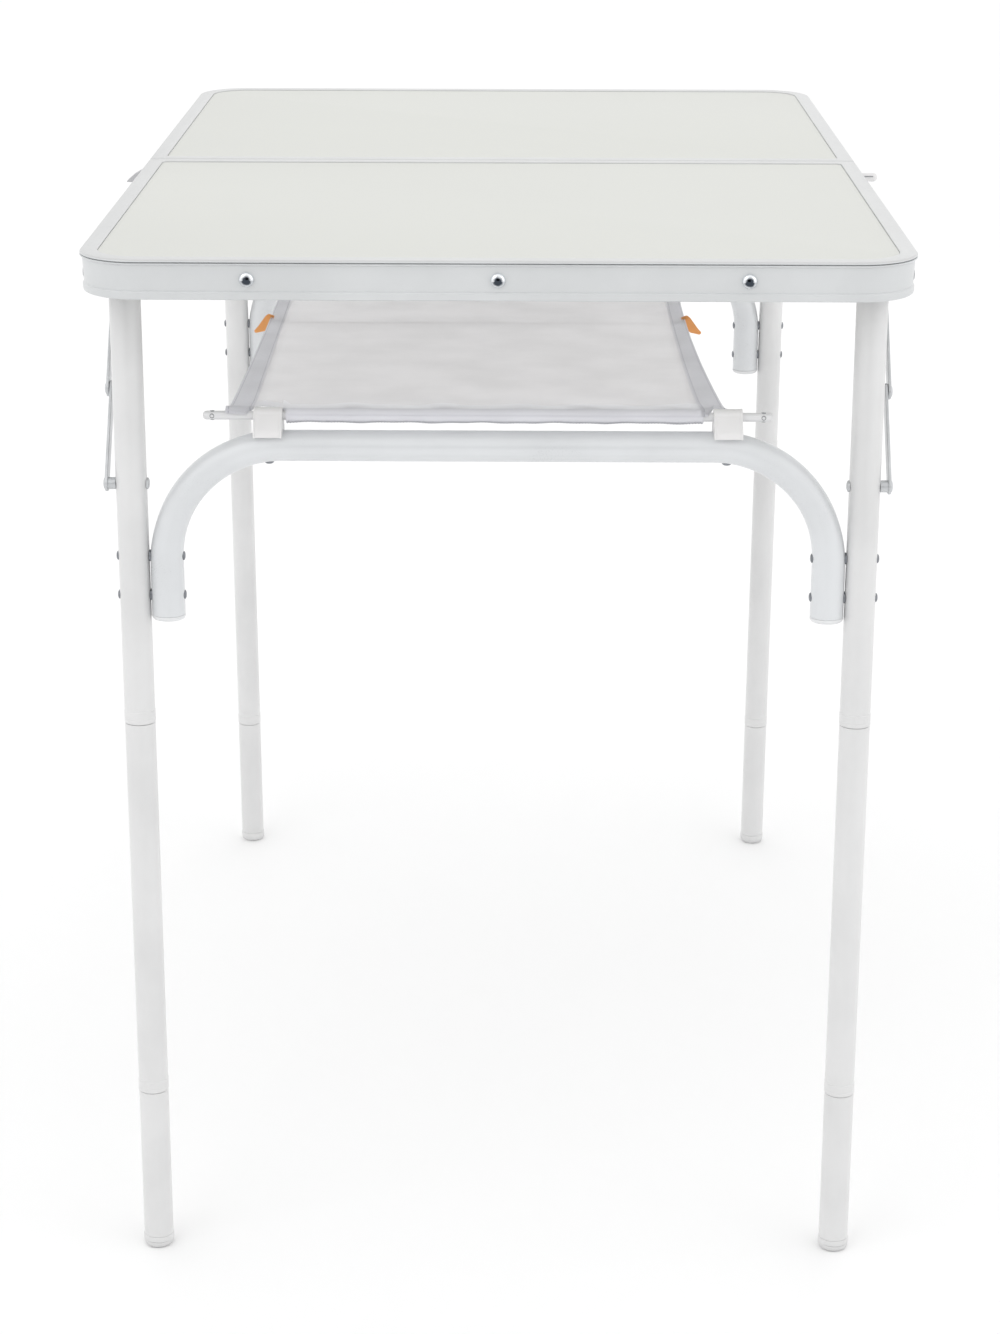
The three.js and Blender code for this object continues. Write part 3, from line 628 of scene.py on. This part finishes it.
def build_pegs():
    """A wedge on the left and a slotted rod on the right, each riveted through the web. The slot
    is a thin dark strip on the rod's face: painted shade in place of its depth.
    """
    face = WEB_X
    inside = face - WEB_WALL
    rivet = [(0, inside - 1.4), (4, inside - 1.4), (4, inside), (2, inside)]
    bm = turned([*rivet, (2, face + 0.6)], across(-1, PEG_Y, PEG_Z), 24)
    near, far = PEG_Y - 3.5, PEG_Y + 3.5
    heights = ((face + 0.2, -6, 6), (face + 6, -6, 5.2), (face + 13, -6, 1.2),
               (face + 18.6, -6, -3.4), (face + 20, -5.8, -4.9))
    rings = []
    for reach, low, high in heights:
        corners = [(near, low), (far, low), (far, high), (near, high)]
        loop = rounded([Vector(c) for c in corners], 1.1, 3, closed=True)
        rings.append([bm.verts.new((-reach, p.x, PEG_Z + p.y)) for p in loop])
    skin(bm, rings)
    add_piece("side_peg_left_wedge", bm, PEG_PLASTIC, "front_half", ["side_peg_left"])
    rod = [*rivet, (2, face + 0.2), (5, face + 0.2), (5, face + 2.2), (3.6, face + 2.4),
           (3.6, face + 17.6), (2.9, face + 19.3), (1.4, face + 20.1), (0, face + 20.2)]
    add_piece("side_peg_right_rod", turned(rod, across(1, PEG_Y, PEG_Z), 40, 0.5),
              WHITE_PLASTIC, "front_half", ["side_peg_right"])
    # the slot: a thin dark strip on the rod's face, painted shade in place of a cut
    bm = bmesh.new()
    outer, inner = PEG_Y - 3.75, PEG_Y - 3.1
    low, high = PEG_Z + 0.7, PEG_Z + 1.6
    slot = [Vector(p) for p in ((outer, low), (inner, low), (inner, high), (outer, high))]
    plate(bm, slot, face + 3, face + 16.5, 0.12)
    add_piece("side_peg_right_slot_painted_shade", bm, RECESS_PAINTED_SHADE, "front_half")


# ---------------------------------------------------------------- leg frames
def collar(bottom):
    """The raised band at the lower end of a tube that another section plugs into."""
    raised, line = TUBE + COLLAR_RELIEF, TUBE + 0.1
    top = bottom + COLLAR
    return [(TUBE - 0.25, bottom), (raised, bottom + 0.45), (raised, bottom + 2.8),
            (line, bottom + 3.1), (line, bottom + 3.6), (raised, bottom + 3.9),
            (raised, top - 0.7), (TUBE - 0.15, top - 0.2), (TUBE, top + 0.4)]


def build_legs(end_name, end, side_name, side):
    """One leg: its three tubes, foot cap, pivot rivet, and the rivets of the U-bar's end."""
    prefix = f"{end_name}_{side_name}"
    lean = leaning(end)
    axis = lean @ upright(side * LEG_X, end * LEG_Y)
    bore = TUBE - TUBE_WALL
    plug = bore - 0.4
    dome = [(TUBE * math.cos(math.radians(a)), PIVOT_Z + TUBE * math.sin(math.radians(a)))
            for a in range(10, 90, 10)]
    upper = [(bore, PIVOT_Z - 40), (bore, UPPER_END)] + collar(UPPER_END) + [(TUBE, PIVOT_Z)]
    bm = bmesh.new()
    lathe(bm, rounded(upper, 0.35) + [Vector(p) for p in dome] + [Vector((0, PIVOT_Z + TUBE))],
          axis, 64)
    add_piece(f"{prefix}_upper_tube", bm, LEG_PAINT, f"{end_name}_leg_frame",
              [f"{prefix}_leg_upper"])
    for node, body in (("leg_extension", "extension"), ("leg_foot", "foot_section")):
        top, bottom = SECTION_TOPS[node], SECTION_ENDS[node]
        section = [(bore, bottom + 60), (bore, bottom)]
        section += collar(bottom) if node == "leg_extension" else [(TUBE, bottom)]
        tip = top + PLUG_HEIGHT
        section += [(TUBE, top - 0.3), (TUBE - 0.3, top), (plug, top), (plug, tip - 3),
                    (plug - 2, tip), (0, tip)]
        add_piece(f"{prefix}_{body}_tube", turned(section, axis, 64, 0.25), LEG_PAINT,
                  f"{prefix}_{body}", [f"{prefix}_{node}"], sharp=30)
    foot_y = end * (LEG_Y + PIVOT_Z * math.tan(LEAN))
    bm = bmesh.new()
    sole = [(0, 0.6), (7.3, 0.6), (7.6, 0), (8.7, 0), (9.9, 0.3), (10.9, 1.2), (11.5, 2.5),
            (11.85, 4.4), (11.9, 5.4)]
    lathe(bm, [Vector(p) for p in sole], upright(side * LEG_X, foot_y), 64)
    cap = [(11.9, 4.8), (11.9, 8.6), (11.6, 9.1), (bore, 9.1), (bore, 28)]
    lathe(bm, rounded(cap, 0.3), axis, 64)
    add_piece(f"{prefix}_foot_cap_moulding", bm, FOOT_PLASTIC, f"{prefix}_foot_section",
              [f"{prefix}_foot_cap"])
    inner, outer = LEG_X - TUBE - TUBE_PLAY, LEG_X + TUBE + TUBE_PLAY
    pivot = [(0, inner - 1.6), (2.6, inner - 1.5), (4.4, inner - 0.9), (5, inner), (3, inner),
             (3, outer), (5.5, outer), (5.5, WEB_X - WEB_WALL), (3, WEB_X - WEB_WALL),
             (3, WEB_X - 0.4), (5.4, WEB_X - 0.4), (5.2, WEB_X + 0.2), (3.8, WEB_X + 1),
             (0, WEB_X + 1.4)]
    add_piece(f"{prefix}_pivot_rivet", turned(pivot, across(side, end * LEG_Y, PIVOT_Z), 40),
              DARK_STEEL, f"{end_name}_half", [f"{prefix}_leg_pivot"])
    for level, z in RIVET_Z.items():
        bar_in, bar_out = BAR_X - TUBE - 0.9, BAR_X + TUBE + 0.9
        rivet = [(0, bar_in - 1.3), (1.8, bar_in - 1.2), (3.2, bar_in - 0.6), (3.8, bar_in + 0.7),
                 (2.4, bar_in + 0.7), (2.4, bar_out - 1), (4.4, bar_out - 1),
                 (4.4, inner + 0.6), (2.4, inner + 0.6), (2.4, outer - 0.7), (3.8, outer - 0.7),
                 (3.2, outer + 0.6), (1.8, outer + 1.2), (0, outer + 1.3)]
        add_piece(f"{prefix}_rivet_{level}_steel",
                  turned(rivet, lean @ across(side, end * LEG_Y, z), 40), DARK_STEEL,
                  f"{end_name}_leg_frame", [f"{prefix}_rivet_{level}"])


def pressed(x, z):
    """The U-bar's ends are pressed a little wider across, where the rivets go through."""
    share = min(1, max(0, (BAR_Z - BEND + 40 - z) / 50))
    middle = math.copysign(BAR_X, x)
    return middle + (x - middle) * (1 + BAR_PRESS * share * share * (3 - 2 * share))


def build_u_bar(end_name, end):
    """The bent tube, its end plugs, and the clips that sit on it."""
    lean = leaning(end)
    y = end * LEG_Y
    path = [Vector((BAR_X, y, BAR_END + rise)) for rise in (4.2, 30)]
    path += [Vector((BAR_X - BEND + p.x, y, BAR_Z - BEND + p.y))
             for p in arc((0, 0), BEND, 0, 90, 28)]
    path += [Vector((x, y, BAR_Z)) for x in (100, 50, 0)]
    path += [Vector((-p.x, y, p.z)) for p in reversed(path[:-1])]
    bm = bmesh.new()
    swept(bm, path, TUBE, Vector((0, 1, 0)), 56)
    for vertex in bm.verts:
        vertex.co.x = pressed(vertex.co.x, vertex.co.z)
    bm.transform(lean)
    add_piece(f"{end_name}_u_bar_tube", bm, BAR_PAINT, f"{end_name}_leg_frame",
              [f"{end_name}_u_bar"])
    for side_name, side in SIDES.items():
        plug = [(0, BAR_END), (8.2, BAR_END), (10.6, BAR_END + 0.8), (11.5, BAR_END + 2.4),
                (11.6, BAR_END + 4), (9.9, BAR_END + 4), (9.9, BAR_END + 5)]
        bm = turned(plug, upright(side * BAR_X, y), 56, 0.5)
        for vertex in bm.verts:
            vertex.co.x = pressed(vertex.co.x, vertex.co.z)
        bm.transform(lean)
        add_piece(f"{end_name}_{side_name}_bar_plug", bm, PLUG_PLASTIC,
                  f"{end_name}_leg_frame")
        build_clip(end_name, end, side_name, side, lean)


def build_clip(end_name, end, side_name, side, lean):
    """A saddle clip with a rim at each end, and the screw that holds it from below."""
    y = end * LEG_Y
    saddle, skirt, head = TUBE + 0.2, 14.5, 6
    opening = 48          # degrees above level at which the saddle leaves the bar
    foot = BAR_Z + saddle * math.sin(math.radians(opening))
    shoulder = BAR_Z + 13
    outer = [Vector((skirt, foot)), Vector((skirt, shoulder))]
    outer += arc((0, ROD_Z), head, 20, 160, 14)
    outer += [Vector((-skirt, shoulder)), Vector((-skirt, foot))]
    outer = rounded(outer, 1.2, 3)
    inner = arc((0, BAR_Z), saddle, 180 - opening, opening, 16)
    outline = [Vector((y + p.x, p.y)) for p in outer + inner]
    middle = side * CLIP_X
    bm = bmesh.new()
    half = CLIP_WIDTH / 2
    plate(bm, outline, middle - half + 1.4, middle + half - 1.4, 0.05)
    waist = ROD_Z - head
    lip = [Vector((y + p.x * 1.035, waist + (p.y - waist) * 1.02)) for p in outer]
    rim = [Vector((y + p.x, p.y)) for p in inner]
    for x in (-half, half - 1.5):
        plate(bm, lip + rim, middle + x, middle + x + 1.5, 0.3)
    bm.transform(lean)
    frame_body = f"{end_name}_leg_frame"
    add_piece(f"{end_name}_{side_name}_clip_moulding", bm, WHITE_PLASTIC, frame_body,
              [f"{end_name}_{side_name}_clip"], sharp=30)
    under = BAR_Z - TUBE
    screw = [(0, under - 1.9), (1.1, under - 1.9), (1.2, under - 2.1), (2.4, under - 1.9),
             (3.5, under - 1), (3.8, under + 0.3), (3.8, under + 1)]
    add_piece(f"{end_name}_{side_name}_clip_screw",
              turned(screw, lean @ upright(middle, y), 32, 0.3), DARK_STEEL, frame_body)


def link_outline(start, end):
    """A flat bar with round ends about the two pivots."""
    direction = math.degrees(math.atan2(end.y - start.y, end.x - start.x))
    radius = STAY_WIDTH / 2
    return (arc(start, radius, direction + 90, direction + 270, 14)
            + arc(end, radius, direction - 90, direction + 90, 14))


def build_stays(end_name, end, side_name, side):
    """The two links of a stay, each with the rivets that it carries."""
    prefix = f"{end_name}_{side_name}"
    drop = PIVOT_Z - STAY_LEG_Z
    foot = Vector((LEG_Y + drop * math.sin(LEAN), PIVOT_Z - drop * math.cos(LEAN)))
    knuckle = foot + (STAY_RIM - foot).normalized() * STAY_LOWER
    foot, rim, knuckle = (Vector((end * p.x, p.y)) for p in (foot, STAY_RIM, knuckle))
    inner, outer = LEG_X - TUBE - TUBE_PLAY, LEG_X + TUBE + TUBE_PLAY
    for link, start, stop, x in (("lower", foot, knuckle, STAY_INNER),
                                 ("upper", knuckle, rim, STAY_OUTER)):
        bm = bmesh.new()
        low, high = sorted((side * x, side * (x + STAY_THICKNESS)))
        plate(bm, link_outline(start, stop), low, high, 0.45)
        if link == "lower":
            rivets = [(start, [(0, inner - 1.9), (2, inner - 1.8), (4.2, inner - 0.8),
                               (4.5, inner + 0.5), (2.5, inner + 0.5), (2.5, outer - 0.5),
                               (4.5, outer - 0.5), (4.5, x + 1), (4.2, x + 2.9),
                               (2.4, x + 3.5), (0, x + 3.6)])]
        else:
            top = x + STAY_THICKNESS
            inside = WEB_X - WEB_WALL
            rivets = [(stop, [(0, top - 1), (4.5, top - 1), (4.5, inside), (2.5, inside),
                              (2.5, WEB_X), (4.2, WEB_X), (4, WEB_X + 0.7), (2.2, WEB_X + 1.4),
                              (0, WEB_X + 1.5)]),
                      (start, [(0, top - 1), (4.3, top - 1), (4.3, top + 0.4),
                               (3.4, top + 1), (1.8, top + 1.3), (0, top + 1.35)])]
        for centre, profile in rivets:
            lathe(bm, rounded(profile, 0.3), across(side, centre.x, centre.y), 32)
        add_piece(f"{prefix}_stay_{link}_bar", bm, STAY_STEEL, f"{prefix}_stay_{link}_link",
                  [f"{prefix}_stay_{link}"])


# ---------------------------------------------------------------- net shelf
ROD_LINE = leaning(1) @ Vector((0, LEG_Y, ROD_Z))


def build_rod(end_name, end):
    """The net's rod, drilled through near each end. The holes are shallow dishes in a dark grey,
    painted shade in place of their depth.
    """
    lean = leaning(end)
    rod = [(0, ROD_LEFT), (1.8, ROD_LEFT + 0.3), (2.9, ROD_LEFT + 1.4), (ROD, ROD_LEFT + 3),
           (ROD, ROD_RIGHT - 3), (2.9, ROD_RIGHT - 1.4), (1.8, ROD_RIGHT - 0.3), (0, ROD_RIGHT)]
    place = lean @ across(1, end * LEG_Y, ROD_Z)
    add_piece(f"{end_name}_rod_bar", turned(rod, place, 40, 0.3), ROD_PAINT,
              f"{end_name}_leg_frame", [f"{end_name}_shelf_rod"])
    # the holes: shallow dishes in a dark grey, painted shade in place of their depth
    bm = bmesh.new()
    for x in (ROD_LEFT + 7, ROD_RIGHT - 7):
        for face in (1, -1):
            eyelet = [(0, face * (ROD - 0.5)), (1.1, face * (ROD - 0.5)),
                      (1.2, face * (ROD + 0.1)), (1.7, face * (ROD + 0.05)),
                      (1.8, face * (ROD - 0.6))]
            spot = lean @ Matrix.Translation((x, end * LEG_Y, ROD_Z))
            for turn in (0, math.pi / 2):
                lathe(bm, [Vector(p) for p in eyelet], spot @ Matrix.Rotation(turn, 4, "X"), 20)
    add_piece(f"{end_name}_rod_eyelets_painted_shade", bm, RECESS_PAINTED_SHADE, f"{end_name}_leg_frame")


def sleeve_drop(x):
    """How far the bottom of the hem pocket hangs away from the rod."""
    return 0.45 + 0.35 * math.sin(x / 9.3) + 0.25 * math.sin(x / 4.1 + 1)


def build_sleeve(end_name, end):
    """The hem pocket round the rod, a little slack between its stitches, and its overlock."""
    left, right = SLEEVE
    steps, sides = 150, 28
    centre = Vector((0, end * ROD_LINE.y, ROD_LINE.z))
    bm = bmesh.new()
    uv = bm.loops.layers.uv.new("UVMap")
    rings = []
    for layer in (SLEEVE_OUTER, SLEEVE_INNER):
        row = []
        for i in range(steps + 1):
            x = left + (right - left) * i / steps
            ring = []
            for k in range(sides):
                angle = 2 * math.pi * k / sides
                low = max(0.0, -math.sin(angle))
                radius = layer + sleeve_drop(x) * low ** 2
                point = centre + Vector((x, radius * math.cos(angle), radius * math.sin(angle)))
                ring.append(bm.verts.new(point))
            row.append(ring)
        rings.append(row)
    for row in rings:
        for first, second in zip(row, row[1:]):
            bridge(bm, first, second)
    for tip in (0, -1):
        bridge(bm, rings[0][tip], rings[1][tip])
    for face in bm.faces:
        for loop in face.loops:
            place = loop.vert.co - centre
            girth = math.atan2(place.z, place.y) * 5
            loop[uv].uv = (girth, place.x)
    sleeve = add_piece(f"{end_name}_hem_sleeve", bm, SLEEVE_CLOTH, f"{end_name}_leg_frame")
    bm = bmesh.new()
    front = Vector((0, end, 0))
    path = []
    stitch = 2.3
    count = 2 * int((right - left) / stitch)
    for i in range(count + 1):
        x = left + 1 + (right - left - 2) * i / count
        angle = math.radians(-38 if i % 2 else -66)
        radius = SLEEVE_OUTER + 0.25 + sleeve_drop(x) * math.sin(angle) ** 2
        path.append(centre + Vector((x, 0, radius * math.sin(angle)))
                    + front * radius * math.cos(angle))
    rings = []
    thread = 0.42
    for index, point in enumerate(path):
        tangent = (path[min(index + 1, count)] - path[max(index - 1, 0)]).normalized()
        out = (point - Vector((point.x, centre.y, centre.z))).normalized()
        side = tangent.cross(out).normalized()
        rings.append([bm.verts.new(point + thread * (math.cos(a) * out + math.sin(a) * side))
                      for a in (2 * math.pi * k / 6 for k in range(6))])
    skin(bm, rings)
    stitches = add_piece(f"{end_name}_hem_stitches", bm, THREAD, f"{end_name}_leg_frame",
                         sharp=80)


def slackness(y):
    """1 midway between the rods, and 0 at and past them."""
    return 1 - (min(abs(y), ROD_LINE.y) / ROD_LINE.y) ** 2


def net_edges(y):
    """The net's two side edges, drawn in where the cloth is free."""
    return NET_LEFT + 3 * slackness(y), NET_RIGHT - NET_WAIST * slackness(y)


def net_band(y):
    """The bound edges roll over where the cloth is free, so less of them shows there."""
    return BAND * (1 - 0.38 * slackness(y))


def net_height(x, y):
    """A slight sag between the rods, over the rods at the ends, with ripples from the hem."""
    reach = ROD_LINE.y - abs(y)
    sag = 5 * slackness(y)
    wrap = ROD + 2.2
    over = wrap * math.exp(-reach / 16) if reach > 0 else math.sqrt(wrap ** 2 - reach ** 2)
    fade = math.exp(-max(reach, 0) / 42) * min(1, max(reach, 0) / 9)
    ripple = 1.7 * math.sin(x / 9.5 + 0.8 * math.sin(x / 31)) * fade
    ripple += 0.9 * math.sin(x / 5.3 + y / 40) * fade
    left, right = net_edges(y)
    for corner, lean_way in ((left, 1), (right, -1)):
        distance = abs((x - corner) - lean_way * reach * 0.75)
        ripple += 1.3 * math.exp(-(distance / 9) ** 2) * math.exp(-max(reach, 0) / 120)
    curl = 1.2 * math.exp(-(min(x - left, right - x) / 12) ** 2)
    return ROD_LINE.z - sag + over + ripple * min(1, max(reach, 0) / 6) + curl


def net_end(x):
    """How far past the rod's centre line the cloth runs: over the rod between the clips, and
    only up to it where a clip is in the way."""
    behind_clip = min(1, max(0, (12.5 - abs(abs(x) - CLIP_X)) / 2))
    return 5 - 13 * behind_clip


def close_sheet(bm, top, bottom):
    """Faces over two grids of vertices, one above the other, and round their four edges."""
    for grid in (top, bottom):
        for first, second in zip(grid, grid[1:]):
            bridge(bm, first, second, closed=False)
    for first, second in ((top[0], bottom[0]), (top[-1], bottom[-1])):
        bridge(bm, first, second, closed=False)
    for column in (0, -1):
        bridge(bm, [row[column] for row in top], [row[column] for row in bottom], closed=False)


def net_columns(left, right, band):
    """Places across the net, each with a mark for the binding: five over each bound side edge,
    and the rest between them."""
    bound = [band * k / 4 for k in range(4)] + [band + 0.01]
    start, stop = left + band + 0.6, right - band - 0.6
    count = 52
    return ([(left + reach, True) for reach in bound]
            + [(start + (stop - start) * k / count, False) for k in range(count + 1)]
            + [(right - reach, True) for reach in reversed(bound)])


def build_net(name, y0, y1, node, body):
    """A stretch of net as a thin closed sheet, thicker where the binding folds over its side
    edges, laid out by distance from the edge and along it."""
    rows = int(abs(y1 - y0) / 4)
    bm = bmesh.new()
    uv = bm.loops.layers.uv.new("UVMap")
    top, bottom, where = [], [], {}
    for i in range(rows + 1):
        share = i / rows
        line = y0 + (y1 - y0) * share
        left, right = net_edges(line)
        band = net_band(line)
        upper, lower = [], []
        for x, bound in net_columns(left, right, band):
            y = line
            if abs(y1) > abs(y0):
                y = y0 + (y1 + math.copysign(1, y1) * net_end(x) - y0) * share
            half = 0.25 if x in (left, right) else (0.85 if bound else 0.4)
            z = net_height(x, y)
            reach = min(x - left, right - x) * (BAND / band if bound else 1)
            upper.append(bm.verts.new((x, y, z + half)))
            lower.append(bm.verts.new((x, y, z - half)))
            where[upper[-1]] = where[lower[-1]] = (reach, y, bound)
        top.append(upper)
        bottom.append(lower)
    close_sheet(bm, top, bottom)
    cloths = [NET, BINDING, HEM, SLEEVE_CLOTH]
    for face in bm.faces:
        marks = [where[vertex] for vertex in face.verts]
        from_rod = ROD_LINE.y - max(abs(along) for _, along, _ in marks)
        here = SLEEVE_CLOTH if from_rod < 1 else (HEM if from_rod < HEM_DEPTH else NET)
        if all(bound for _, _, bound in marks):
            here = BINDING
        face.material_index = cloths.index(here)
        for loop in face.loops:
            loop[uv].uv = where[loop.vert][:2]
    return add_piece(name, bm, cloths, body, [node], sharp=60)


def build_tag(name, side, node):
    """A short ribbon sewn to the net's edge that curls outwards and hangs."""
    edge = net_edges(TAG_Y)[0 if side < 0 else 1]
    height = net_height(edge, TAG_Y)
    bm = bmesh.new()
    uv = bm.loops.layers.uv.new("UVMap")
    steps, across_steps = 14, 8
    top, bottom = [], []
    for i in range(steps + 1):
        share = i / steps
        reach = TAG_REACH * share - TAG_SEWN
        fall = 0.8 - TAG_FALL * share ** 1.1
        width = TAG_WIDTH * (1 - 1.5 * max(0, share - 0.5)) * min(1, 0.7 + share)
        upper, lower = [], []
        for k in range(across_steps + 1):
            t = k / across_steps - 0.5
            twist = 0.85 * min(1, share * 3)
            point = Vector((edge + side * (reach - 1.5 * share * (2 * t) ** 2),
                            TAG_Y + width * t * math.cos(twist),
                            height + fall + width * t * math.sin(twist)))
            lift = Vector((0, -0.35 * math.sin(twist), 0.35 * math.cos(twist)))
            upper.append(bm.verts.new(point + lift))
            lower.append(bm.verts.new(point - lift))
        top.append(upper)
        bottom.append(lower)
    close_sheet(bm, top, bottom)
    for face in bm.faces:
        for loop in face.loops:
            loop[uv].uv = (TAG_WIDTH / 2 - abs(loop.vert.co.y - TAG_Y), loop.vert.co.x)
    tag = add_piece(name, bm, TAG, None, [node], sharp=60)
    return tag


def build_shelf():
    """The rods, their hem pockets, the net in three stretches and its two tags."""
    for end_name, end in ENDS.items():
        build_rod(end_name, end)
        build_sleeve(end_name, end)
        net = build_net(f"{end_name}_net_sheet", end * NET_SPLIT, end * ROD_LINE.y,
                        f"shelf_net_{end_name}", f"{end_name}_half")
        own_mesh(net)
    middle = build_net("middle_net_sheet", -NET_SPLIT, NET_SPLIT, "shelf_net_middle", None)
    tags = [build_tag(f"{name}_net_tag", side, f"shelf_tag_{name}")
            for name, side in SIDES.items()]
    for piece in [middle, *tags]:
        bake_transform(piece)


# ---------------------------------------------------------------- stage, light and camera
def build_card():
    """A dark card behind the camera that gives the polished studs something to mirror."""
    mesh = bpy.data.meshes.new("card")
    mesh.from_pydata([(-0.55, 0, 0), (0.55, 0, 0), (0.55, 0, 0.8), (-0.55, 0, 0.8)], [],
                     [(0, 1, 2, 3)])
    graph = Graph("card_black")
    graph.link(graph.ramp(graph.noise(3, 2), (0.01, 0.01, 0.012, 1), (0.02, 0.02, 0.024, 1)),
               graph.shader.inputs["Base Color"])
    mesh.materials.append(graph.material)
    card = bpy.data.objects.new("card", mesh)
    card.location = (0, -2.7, 0.5)
    bpy.context.scene.collection.objects.link(card)


def build_stage():
    """A white floor in a white studio with three soft lamps, and the card."""
    mesh = bpy.data.meshes.new("floor")
    reach = 40
    corners = [(-reach, -reach, 0), (reach, -reach, 0), (reach, reach, 0), (-reach, reach, 0)]
    mesh.from_pydata(corners, [], [(0, 1, 2, 3)])
    graph = Graph("floor_paint")
    graph.link(graph.ramp(graph.noise(0.6, 2), (0.93, 0.93, 0.93, 1), (0.95, 0.95, 0.95, 1)),
               graph.shader.inputs["Base Color"])
    graph.shader.inputs["Roughness"].default_value = 0.9
    graph.shader.inputs["Specular IOR Level"].default_value = 0.1
    mesh.materials.append(graph.material)
    floor = bpy.data.objects.new("floor", mesh)
    bpy.context.scene.collection.objects.link(floor)
    build_card()

    world = bpy.data.worlds.new("studio")
    world.use_nodes = True
    background = world.node_tree.nodes["Background"]
    background.inputs["Color"].default_value = (1, 1, 1, 1)
    background.inputs["Strength"].default_value = 1.08
    bpy.context.scene.world = world
    lamps = (("key", (-1.9, -2.2, 2.6), 2.2, 9), ("fill", (2.4, -1.2, 1.6), 2.6, 6),
             ("back", (0.4, 2.8, 2.4), 2.4, 4))
    for name, place, size, power in lamps:
        light = bpy.data.lights.new(name, "AREA")
        light.size = size
        light.energy = power
        lamp = bpy.data.objects.new(name, light)
        lamp.location = place
        aim = Vector((0, 0, 0.55)) - lamp.location
        lamp.rotation_euler = aim.to_track_quat("-Z", "Y").to_euler()
        bpy.context.scene.collection.objects.link(lamp)


def build_camera():
    """The photograph's camera, as fitted to the table's corners, legs and feet."""
    sensor, lens = 36, 76.442
    pitch, yaw, roll = 0.33343, -0.00578, 0.00277
    forward = Vector((math.sin(yaw) * math.cos(pitch), math.cos(yaw) * math.cos(pitch),
                      -math.sin(pitch)))
    right = Vector((math.cos(yaw), -math.sin(yaw), 0))
    up = right.cross(forward)
    level_right = math.cos(roll) * right + math.sin(roll) * up
    level_up = -math.sin(roll) * right + math.cos(roll) * up
    data = bpy.data.cameras.new("camera")
    data.sensor_width = sensor
    data.lens = lens
    camera = bpy.data.objects.new("camera", data)
    turn = Matrix((level_right, level_up, -forward)).transposed()
    camera.matrix_world = Matrix.Translation((0.0136, -2.41882, 1.18098)) @ turn.to_4x4()
    bpy.context.scene.collection.objects.link(camera)
    bpy.context.scene.camera = camera


build_camera()
build_stage()
for end_name, end in ENDS.items():
    build_rim(end_name, end)
    build_panel(end_name, end)
    build_u_bar(end_name, end)
    for side_name, side in SIDES.items():
        build_legs(end_name, end, side_name, side)
        build_stays(end_name, end, side_name, side)
build_studs()
build_pegs()
build_shelf()
bpy.context.scene.view_settings.view_transform = "Standard"
